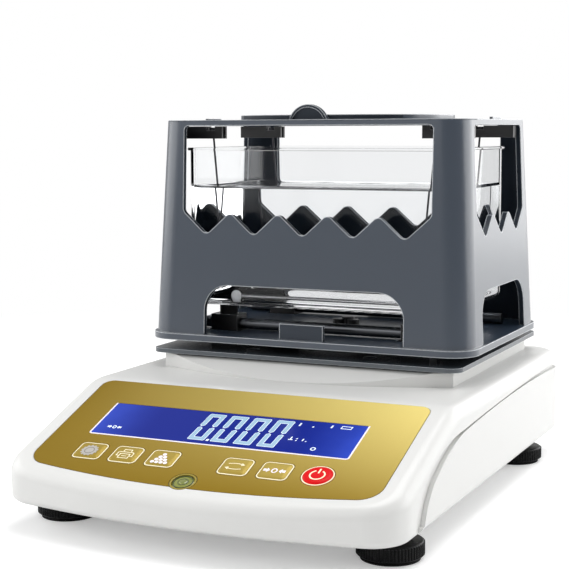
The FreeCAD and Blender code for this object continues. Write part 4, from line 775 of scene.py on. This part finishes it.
def powerSign(work, centre, low, high):
    radius, start, end, steps = 3.4, 118, 422, 30
    angles = [math.radians(start + (end - start) * k / steps) for k in range(steps + 1)]
    ring = [(radius * math.cos(a), radius * math.sin(a) - 0.4) for a in angles]
    line(work, ring, centre, 0.75, low, high)
    plate(work, [(-0.4, 0.9), (0.4, 0.9), (0.4, 4.4), (-0.4, 4.4)], centre, low, high)


def capOutline(name, inset):
    if name == "power":
        return circleLoop(keySet["powerRadius"] - inset, 56)
    return roundedLoop(keySet["halfWidth"] - inset, keySet["halfLength"] - inset,
                       max(keySet["corner"] - inset, keySet["leastCorner"]))


def makeCap(name, x, cap, gold):
    flange, under, bevel, ring = (keySet[key] for key in ("flange", "under", "bevel", "ring"))
    rise, ringTop = cap["rise"], cap["ringTop"]
    # how far in, how high and which material, from the hidden flange to the crown
    steps = [(-flange, keySet["bottom"], 0), (-flange, under, 0), (0, under, 0), (0, 0, 0),
             (bevel, ringTop, 1), (ring, ringTop, 1), (ring + bevel, keySet["groove"], 0),
             (ring + cap["shoulder"], rise * cap["share"], 0), (ring + keySet["crown"], rise, 0),
             (ring + keySet["middle"], rise, 0)]
    work = bmesh.new()
    loft(work, [panelLoop(capOutline(name, inset), (x, keySet["row"]), out)
                for inset, out, tone in steps], paint=[step[2] for step in steps[1:]])
    makePiece("keyCap_" + name, work, [keyGold if gold else finishes["red_key"], creamPrint],
              "key_" + name, instead=("key_" + name,),
              angle=50)


def makeKeys():
    signs = {"settings": (gearSign, silverPrint), "print": (printerSign, creamPrint),
             "enter": (pileSign, palePrint), "mode": (cycleSign, creamPrint),
             "zero": (zeroSign, palePrint), "power": (powerSign, creamPrint)}
    for name, (draw, tone) in signs.items():
        low, high = boxOf("key_" + name)
        # the box is that of a mesh, so its middle is right to a tenth of a millimetre
        x = round((low.x + high.x) / 2, 1)
        cap = capSet["power" if name == "power" else "soft"]
        makeCap(name, x, cap, name != "power")
        spot = (x, keySet["row"] + cap["signDrop"])
        low, high = cap["rise"] - keySet["sink"], cap["rise"] + keySet["print"]
        work = bmesh.new()
        draw(work, spot, low, high)
        makePiece("keySign_" + name, work, [tone], "key_" + name)
        if name == "settings":
            hub = bmesh.new()
            line(hub, circleLoop(hubSet["radius"], 32), spot, hubSet["line"], low,
                 high + hubSet["lift"], closed=True)
            makePiece("keySign_hub", hub, [greyPrint], "key_" + name)


makeKeys()
print("keys ready")


# display: frame line, digits and small marks; places are x and down the slope; the pale frame line is
# a painted highlight of the display's raised bezel
screenSet = {"centre": (-2.6, 36.7), "half": (67.75, 14.0), "corner": 1.2, "line": 0.8,
             "lineLow": -0.45, "lineHigh": 0.12, "digitWidth": 9.0, "digitHeight": 23.2,
             "stroke": 2.6, "slant": 1.6, "nick": 0.5, "firstDigit": -18.3, "pitch": 12.13,
             "top": 24.6, "lift": 0.06, "sink": 0.02, "waist": (1.0, 0.3, 1.3), "edge": 0.5,
             "fillSink": 0.01, "fillLift": 0.03, "point": (1.3, 1.5, 0.1), "pointGap": 1.0,
             "zeroMark": (-60.5, 44.0), "battery": (55.2, 25.8), "unitRing": (46.2, 45.6),
             "markLean": 0.2}
# small upright marks: x, down, width, height
marks = ((31.8, 26.6, 0.8, 2.4), (38.8, 27.6, 0.8, 0.8), (47.8, 26.0, 0.8, 2.2),
         (32.2, 39.8, 2.2, 0.6), (32.2, 38.4, 0.6, 2.0), (35.2, 38.6, 0.6, 0.6),
         (35.2, 40.2, 0.6, 0.6), (38.4, 39.2, 0.6, 1.8), (40.2, 40.2, 0.6, 0.6))


def digitHalves():
    # the upper and the lower half of a seven-segment nought, x from its left, y from its middle
    wide, half, bar = screenSet["digitWidth"], screenSet["digitHeight"] / 2, screenSet["stroke"]
    nick, (side, tip, inner) = screenSet["nick"], screenSet["waist"]
    upper = [(nick, half), (wide - nick, half), (wide, half - nick), (wide, side),
             (wide - bar / 2, tip), (wide - bar, inner), (wide - bar, half - bar),
             (bar, half - bar), (bar, inner), (bar / 2, tip), (0, side), (0, half - nick)]
    lower = [(x, -y) for x, y in reversed(upper)]
    slope = screenSet["slant"] / screenSet["digitHeight"]
    return [[(x + (y + half) * slope, y) for x, y in points] for points in (upper, lower)]


def signedArea(points):
    return sum(points[k - 1][0] * points[k][1] - points[k][0] * points[k - 1][1]
               for k in range(len(points))) / 2


def makeScreen():
    half, corner = screenSet["half"], screenSet["corner"]
    reach = [side + screenSet["line"] / 2 for side in half]
    bend = [(reach[0] - x, y - reach[1]) for x, y in ((0, corner), (corner / 4, corner / 3),
                                                      (corner, 0))]
    path = [(reach[0], half[1])] + bend
    path += [(-x, y) for x, y in reversed(path)]
    work = bmesh.new()
    # the pale frame line is a painted highlight along the display's bezel
    line(work, path, screenSet["centre"], screenSet["line"], screenSet["lineLow"],
         screenSet["lineHigh"])
    makePiece("screenLine", work, [palePrint], "base")

    edges, fills = bmesh.new(), bmesh.new()
    low, high = -screenSet["sink"], screenSet["lift"]
    for number in range(4):
        spot = (screenSet["firstDigit"] + number * screenSet["pitch"],
                screenSet["top"] + screenSet["digitHeight"] / 2)
        for outline in digitHalves():
            plate(edges, outline, spot, low, high)
            sides = strokeSides(outline, screenSet["edge"], True)
            plate(fills, sides[0 if signedArea(outline) < 0 else 1], spot,
                  high - screenSet["fillSink"], high + screenSet["fillLift"])
    wide, tall, lean = screenSet["point"]
    plate(edges, [(0, 0), (wide, 0), (wide + lean, tall), (lean, tall)],
          (screenSet["firstDigit"] + screenSet["digitWidth"] + screenSet["pointGap"],
           screenSet["top"] + screenSet["digitHeight"]), low, high)
    zeroSign(edges, screenSet["zeroMark"], low, high, 0.85)
    lean = screenSet["markLean"]
    for x, down, wide, tall in marks:
        plate(edges, [(-wide / 2, -tall / 2), (wide / 2, -tall / 2), (wide / 2 + lean, tall / 2),
                      (-wide / 2 + lean, tall / 2)], (x, down), low, high)
    line(edges, [(-2.6, -1.0), (2.4, -1.0), (2.7, 1.0), (-2.3, 1.0)], screenSet["battery"], 0.4,
         low, high, closed=True)
    line(edges, circleLoop(1.1, 20), screenSet["unitRing"], 0.5, low, high, closed=True)
    makePiece("digitEdges", edges, [digitEdge], "base")
    makePiece("digitFills", fills, [digitFill], "base")


makeScreen()
print("screen ready")


# bubble level: a domed glass with two rings and the bubble
levelSet = {"x": -2.8, "down": 81.6, "radius": 5.35, "top": -0.3, "bottom": -5.9, "dome": 0.5,
            "edge": 0.3, "edgeIn": 0.2, "rings": (2.4, 4.6), "ringWidth": 0.34, "ringSink": 0.2,
            "ringLift": 0.26, "ringFall": 0.03, "bubble": 1.9, "bubbleLift": 0.1,
            "bubbleRise": 0.35, "bubbleTip": 0.05, "bubbleShift": (0.3, -0.2)}


def makeLevel():
    spot, radius = (levelSet["x"], levelSet["down"]), levelSet["radius"]
    top, edge, quarter = levelSet["top"], levelSet["edge"], math.pi / 2
    work = bmesh.new()
    steps = [(radius, levelSet["bottom"]), (radius, top - 2 * edge),
             (radius - levelSet["edgeIn"], top - edge)]
    steps += [(radius * (1 - k / 7), top - edge + levelSet["dome"] * math.sin(quarter * k / 6))
              for k in range(1, 7)]
    turned(work, spot, steps, 40)
    makePiece("levelGlass", work, [finishes["vial_green"]], "base",
              instead=("level_vial",), angle=60)
    rings = bmesh.new()
    for size in levelSet["rings"]:
        line(rings, circleLoop(size, 36), spot, levelSet["ringWidth"], top - levelSet["ringSink"],
             top + levelSet["ringLift"] - size * levelSet["ringFall"], closed=True)
    makePiece("levelRings", rings, [levelLine], "base")
    bubble = bmesh.new()
    steps = [(levelSet["bubble"] * math.cos(quarter * k / 6) + levelSet["bubbleTip"],
              top + levelSet["bubbleLift"] + levelSet["bubbleRise"] * math.sin(quarter * k / 6))
             for k in range(7)]
    turned(bubble, [a + b for a, b in zip(spot, levelSet["bubbleShift"])], steps, 28)
    makePiece("levelBubble", bubble, [bubbleGreen], "base", angle=60)


makeLevel()
print("level ready")


# clear tank and its water; the meniscus is how far in and what share of its rise
tankSet = {"rim": 1.6, "rimHeight": 1.5, "wall": 2.4, "corner": 8.0, "foot": 5.0, "fill": 64.4,
           "overlap": 0.05, "edge": 0.6, "chamfer": 0.3, "meniscus": 1.8,
           "meniscusCurve": ((0.2, 0.72), (0.5, 0.5), (1.0, 0.28), (1.7, 0.11), (2.6, 0.02),
                             (3.4, 0.0), (4.0, 0.0))}


def grown(size, by, height):
    # a step of a stack whose half width, half length and corner have grown
    return (size[0] + by, size[1] + by, size[2] + by, height)


def bowlSteps(size, bottom, foot, count=6):
    # from the flat bottom round the foot to the upright wall
    edge = tankSet["edge"]
    steps = [(size[0] - foot - edge, size[1] - foot - edge, size[2] - foot, bottom)]
    for k in range(count + 1):
        angle = math.pi / 2 * k / count
        steps.append(grown(size, foot * (math.sin(angle) - 1),
                           bottom + foot * (1 - math.cos(angle))))
    return steps + [grown(size, 0, bottom + foot + edge)]


def makeTank():
    low, high = boxOf("water_tank")
    centre = (low + high) / 2
    rim, wall, foot, edge = (tankSet[key] for key in ("rim", "wall", "foot", "edge"))
    outside = (high.x - centre.x - rim, high.y - centre.y - rim, tankSet["corner"])
    inside = grown(outside, -wall, 0)[:3]
    rimLow, chamfer, floor = high.z - tankSet["rimHeight"], tankSet["chamfer"], low.z + wall
    outer = bowlSteps(outside, low.z, foot)
    outer += [grown(outside, by, height) for by, height in (
        (0, rimLow - edge), (0, rimLow), (rim - chamfer, rimLow), (rim, rimLow + chamfer),
        (rim, high.z - chamfer), (rim - chamfer, high.z))]
    inner = bowlSteps(inside, floor, foot - wall)
    inner += [grown(inside, by, height) for by, height in (
        (0, high.z - chamfer - edge), (0, high.z - chamfer), (chamfer, high.z))]
    work = bmesh.new()
    stack(work, centre, outer + list(reversed(inner)))
    makePiece("clearTank", work, [finishes["clear_acrylic"]], "tank",
              instead=("water_tank",), angle=60)

    lap, rise, surface = tankSet["overlap"], tankSet["meniscus"], low.z + tankSet["fill"]
    wet = grown(inside, lap, 0)[:3]
    steps = bowlSteps(wet, floor - lap, foot - wall)[:-1]
    steps += [grown(wet, 0, floor + foot - wall + edge), grown(wet, 0, surface + rise)]
    steps += [grown(wet, -inset, surface + rise * share)
              for inset, share in tankSet["meniscusCurve"]]
    water = bmesh.new()
    stack(water, centre, steps)
    makePiece("tankWater", water, [clearWater], "tank", angle=60)
    return centre, inside, surface, floor


tankCentre, tankInside, waterTop, tankFloor = makeTank()
print("tank and water ready")


# air bubbles that cling to the tank's walls under water
bubbleSet = {"count": 46, "low": 0.18, "high": 0.55, "seed": 5, "density": 0.06, "fromWall": 0.7,
             "fromFloor": 6.0, "fromTop": 4.0, "wallShare": 0.9}


def bubbleTree():
    put, take, give = newTree("clingingBubbles", {
        "Count": 40, "Smallest": 0.2, "Largest": 0.5, "Density": 0.06, "Seed": 1})
    area = put.node("GeometryNodeDistributePointsOnFaces", {
        "Mesh": take["Geometry"], "Density": take["Density"], "Seed": take["Seed"]})
    order = put.node("GeometryNodeInputIndex").outputs["Index"]
    late = put.node("FunctionNodeCompare", {2: order, 3: take["Count"]}, data_type="INT",
                    operation="GREATER_EQUAL").outputs["Result"]
    few = put.node("GeometryNodeDeleteGeometry", {"Geometry": area.outputs["Points"],
                                                  "Selection": late}).outputs["Geometry"]
    ball = put.node("GeometryNodeMeshIcoSphere", {"Radius": 1.0, "Subdivisions": 2}).outputs["Mesh"]
    grow = put.node("FunctionNodeRandomValue", {2: take["Smallest"], 3: take["Largest"],
                                                "Seed": take["Seed"]}).outputs[1]
    return closeTree(put, give, put.scatter(few, ball, Scale=grow))


def makeBubbles():
    reach = [side - bubbleSet["fromWall"] for side in tankInside[:2]]
    low, high = tankFloor + bubbleSet["fromFloor"], waterTop - bubbleSet["fromTop"]
    share = bubbleSet["wallShare"]
    corners = []
    for axis, side in ((0, -1), (0, 1), (1, -1), (1, 1)):
        for along, height in ((-share, low), (share, low), (share, high), (-share, high)):
            x, y = (along, side) if axis else (side, along)
            corners.append((tankCentre.x + x * reach[0], tankCentre.y + y * reach[1], height))
    walls = plainMesh("bubbleWalls", corners, [tuple(range(k, k + 4)) for k in (0, 4, 8, 12)])
    mesh = treeMesh("wallBubbles", bubbleTree(), walls, Count=bubbleSet["count"],
                    Smallest=bubbleSet["low"], Largest=bubbleSet["high"],
                    Density=bubbleSet["density"], Seed=bubbleSet["seed"])
    makePiece("wallBubbles", mesh, [airBubble], "tank")


makeBubbles()
print("bubbles ready")


# levelling feet: ribbed wheel, collar and threaded stud; an edge is a list of how far in and
# how far from the flat it is
footSet = {"radius": 15.5, "bottom": 1.6, "height": 7.0, "opening": 6.0, "collar": 6.4,
           "collarHeight": 1.2, "ribs": 60, "ribWidth": 1.1, "ribInset": 1.4, "stud": 4.0,
           "root": 3.5, "pitch": 1.25, "top": 24.0, "lowEdge": ((0.6, 0.0), (0.0, 0.5)),
           "topEdge": ((0.0, 0.7), (0.3, 0.2), (0.9, 0.0)), "collarFoot": ((-0.6, 0.0), (0.0, 0.4)),
           "collarEdge": ((0.0, 0.3), (0.4, 0.0)), "studEdge": 0.3, "play": 0.1, "crest": 0.05}


def ribTree():
    put, take, give = newTree("ribbedWheel", {
        "Count": 60, "Radius": 15.0, "Rib Width": 1.0, "Rib Height": 6.0, "Lift": 5.0})
    circle = put.node("GeometryNodeMeshCircle", {"Vertices": take["Count"],
                                                 "Radius": take["Radius"]})
    raised = put.moved(circle.outputs["Mesh"], put.xyz(Z=take["Lift"]))
    rib = put.cylinder(10, put.times(take["Rib Width"], 0.5), take["Rib Height"])
    return closeTree(put, give, put.join([put.scatter(raised, rib), take["Geometry"]]))


def makeFeet():
    rim = footSet["radius"] - footSet["ribWidth"] / 2
    bottom, top = footSet["bottom"], footSet["bottom"] + footSet["height"]
    collar, stud, root, pitch = (footSet[key] for key in ("collar", "stud", "root", "pitch"))
    turn = top + footSet["collarHeight"]
    profile = [(footSet["opening"], bottom)]
    for radius, height, side, edge in ((rim, bottom, 1, "lowEdge"), (rim, top, -1, "topEdge"),
                                       (collar, top, 1, "collarFoot"),
                                       (collar, turn, -1, "collarEdge")):
        profile += [(radius - inset, height + side * away) for inset, away in footSet[edge]]
    profile.append((stud + footSet["play"], turn))
    while turn + pitch < footSet["top"]:
        profile += [(root, turn + pitch * 0.35), (stud - footSet["crest"], turn + pitch * 0.85)]
        turn += pitch
    tip = footSet["studEdge"]
    profile += [(root, footSet["top"] - tip), (root - tip, footSet["top"])]
    work = bmesh.new()
    loft(work, [[(p.x, p.y, height) for p in circleLoop(radius, 60)] for radius, height in profile])
    ready = treeMesh("footWheel", ribTree(), finished(work, "footBase"), Count=footSet["ribs"],
                     Radius=rim, Rib_Width=footSet["ribWidth"], Lift=(bottom + top) / 2,
                     Rib_Height=footSet["height"] - footSet["ribInset"])
    for side in ("front_left", "front_right", "back_left", "back_right"):
        low, high = boxOf("foot_wheel_" + side)
        mesh = ready.copy()
        mesh.transform(Matrix.Translation(((low.x + high.x) / 2, (low.y + high.y) / 2, 0)))
        makePiece("footWheel_" + side, mesh, [footBlack], "foot_wheel_" + side,
                  instead=("foot_wheel_" + side,))


makeFeet()
print("feet ready")


# bright water probe that lies on the tank's floor: a bulb at the left, a thin stem to the right; the
# bulb's faint glow is painted light
probeSet = {"bulb": 3.0, "stem": 1.0, "left": -48.0, "right": 60.0, "fromFront": 5.0, "lift": 0.1,
            "neck": 0.5, "tip": 0.2, "endEdge": 0.3}


def makeProbe():
    bulb, stem, left, right = (probeSet[key] for key in ("bulb", "stem", "left", "right"))
    tip, edge = probeSet["tip"], probeSet["endEdge"]
    front = tankCentre.y - tankInside[1] + probeSet["fromFront"]
    height = tankFloor + bulb + probeSet["lift"]
    profile = [(tip, left - bulb)]
    for k in range(1, 12):
        angle = math.pi * k / 12
        if bulb * math.sin(angle) < stem and k > 6:
            break
        profile.append((bulb * math.sin(angle), left - bulb * math.cos(angle)))
    bulbSteps = len(profile)
    profile += [(stem, profile[-1][1] + probeSet["neck"]), (stem, right - stem),
                (stem * (1 - edge), right - stem * edge), (tip, right)]
    work = bmesh.new()
    loft(work, [[(x, front + p.x, height + p.y) for p in circleLoop(radius, 24)]
                for radius, x in profile], paint=[0] * bulbSteps + [1] * (len(profile) - bulbSteps))
    makePiece("waterProbe", work, [probeBulb, finishes["steel"]], "tank", angle=50)


makeProbe()
print("water probe ready")


# screws with a cross recess
screwSet = {"plate_screws": {"head": 3.4, "depth": 1.5, "shank": 1.5, "side": 1.0},
            "housing_screws": {"head": 3.0, "depth": 1.5, "shank": 1.5, "side": -1.0}}
# shares of the head's radius and depth, the end left free in millimetres, and the random seed
crossSet = {"reach": 1.1, "slit": 0.24, "drop": 0.4, "endGap": 0.4, "seed": 3}


def looseParts(name):
    # the box of each separate piece in a node, in millimetres
    work = bmesh.new()
    work.from_mesh(nodes[name].data)
    bmesh.ops.remove_doubles(work, verts=work.verts, dist=1e-6)
    seen, boxes = set(), []
    for start in work.verts:
        if start in seen:
            continue
        heap, island = [start], []
        seen.add(start)
        while heap:
            vert = heap.pop()
            island.append(vert.co / mm)
            for edge in vert.link_edges:
                other = edge.other_vert(vert)
                if other not in seen:
                    seen.add(other)
                    heap.append(other)
        boxes.append([Vector([pick(p[k] for p in island) for k in range(3)]) for pick in (min, max)])
    work.free()
    return boxes


def screwTree():
    put, take, give = newTree("crossScrews", {
        "Head Radius": 3.0, "Head Depth": 1.5, "Shank Radius": 1.5, "Length": 10.0, "Side": 1.0,
        "Seed": 3})
    radius, depth, length = take["Head Radius"], take["Head Depth"], take["Length"]

    def upright(mesh, height):
        return put.moved(mesh, put.xyz(Z=put.times(height, take["Side"])))

    head = upright(put.cylinder(40, radius, depth), put.times(depth, -0.5))
    reach, slit = put.times(radius, crossSet["reach"]), put.times(radius, crossSet["slit"])
    bars = [put.cube(put.xyz(X=x, Y=y, Z=depth)) for x, y in ((reach, slit), (slit, reach))]
    carved = put.carve(head, put.join(bars))
    drop = put.minus(put.times(put.plus(length, depth), -0.5), put.times(depth, crossSet["drop"]))
    shank = upright(put.cylinder(20, take["Shank Radius"], length), drop)
    turn = put.node("FunctionNodeRandomValue", {2: 0.0, 3: 1.5, "Seed": take["Seed"]}).outputs[1]
    points = put.node("GeometryNodeMeshToPoints", {"Mesh": take["Geometry"]}).outputs["Points"]
    return closeTree(put, give, put.scatter(points, put.join([shank, carved]),
                                            Rotation=put.xyz(Z=turn)))


def makeScrews():
    tree = screwTree()
    for node, values in screwSet.items():
        boxes = looseParts(node)
        side, depth = values["side"], values["depth"]
        spots = [((a.x + b.x) / 2, (a.y + b.y) / 2, b.z if side > 0 else a.z) for a, b in boxes]
        length = boxes[0][1].z - boxes[0][0].z - depth - crossSet["endGap"]
        mesh = treeMesh(node, tree, plainMesh(node + "Spots", spots), Head_Radius=values["head"],
                        Head_Depth=depth, Shank_Radius=values["shank"], Length=length, Side=side,
                        Seed=crossSet["seed"])
        makePiece("cross_" + node, mesh, [finishes["steel"]], "base", instead=(node,))


makeScrews()
print("screws ready")


# load cell: a bar with two eyes, which in the real balance bends as the weighing side sinks; this
# piece stays still
cellSet = {"eye": 6.5, "eyeGap": 17.0, "slot": 3.25, "screw": 1.6, "end": 26.0, "slices": 40}


def cellTree():
    put, take, give = newTree("loadCellHoles", {
        "Eye Radius": 6.0, "Eye Gap": 17.0, "Slot": 3.0, "Screw Radius": 1.6, "Across": 24.0,
        "Reach": 37.0})
    wide, quarter = put.times(take["Across"], 2.0), put.times(take["Across"], 0.25)
    apart = put.times(take["Eye Gap"], 0.5)
    eye = put.cylinder(40, take["Eye Radius"], wide)
    hole = put.cylinder(24, take["Screw Radius"], wide)
    tools = []
    for side in (-1.0, 1.0):
        tools.append(put.moved(eye, put.xyz(Y=put.times(apart, side)),
                               Rotation=(0.0, math.pi / 2, 0.0)))
        for hand in (-1.0, 1.0):
            spot = put.xyz(X=put.times(quarter, hand), Y=put.times(take["Reach"], side))
            tools.append(put.moved(hole, spot))
    tools.append(put.cube(put.xyz(X=wide, Y=take["Eye Gap"], Z=take["Slot"])))
    return closeTree(put, give, put.carve(take["Geometry"], put.join(tools), True))


def makeCell():
    low, high = boxOf("load_cell")
    middle, half = (low + high) / 2, (high - low) / 2
    end, slices = cellSet["end"], cellSet["slices"]
    block = bmesh.new()
    loops = []
    for k in range(slices + 1):
        y = half.y * (2 * k / slices - 1)
        loops.append([(-half.x, y, -half.z), (half.x, y, -half.z), (half.x, y, half.z),
                      (-half.x, y, half.z)])
    loft(block, loops)
    mesh = treeMesh("bendingCell", cellTree(), finished(block, "cellBlank"),
                    Eye_Radius=cellSet["eye"], Eye_Gap=cellSet["eyeGap"], Slot=cellSet["slot"],
                    Screw_Radius=cellSet["screw"], Across=half.x * 2, Reach=half.y - end / 2)
    mesh.transform(Matrix.Translation(middle))
    piece = makePiece("bendingCell", mesh, [finishes["alloy"]], None,
                      instead=("load_cell",))
    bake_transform(piece)


makeCell()
print("load cell ready")


def dressNodes():
    # the level's rim has its own colour, the basket its dark wire, and the rods steel darkened as
    # painted shade
    ownFinish = {"level_housing": levelRim, "basket_wires": darkWire, "stand_rods": paintedShadeRod}
    for part in record["subparts"]:
        data = nodes[part["node"]].data
        if not data.materials:
            data.materials.append(None)
        for index in range(len(data.materials)):
            data.materials[index] = ownFinish.get(part["node"], finishes[part["material_slot"]])


dressNodes()
print("materials on", len(record["subparts"]), "nodes")
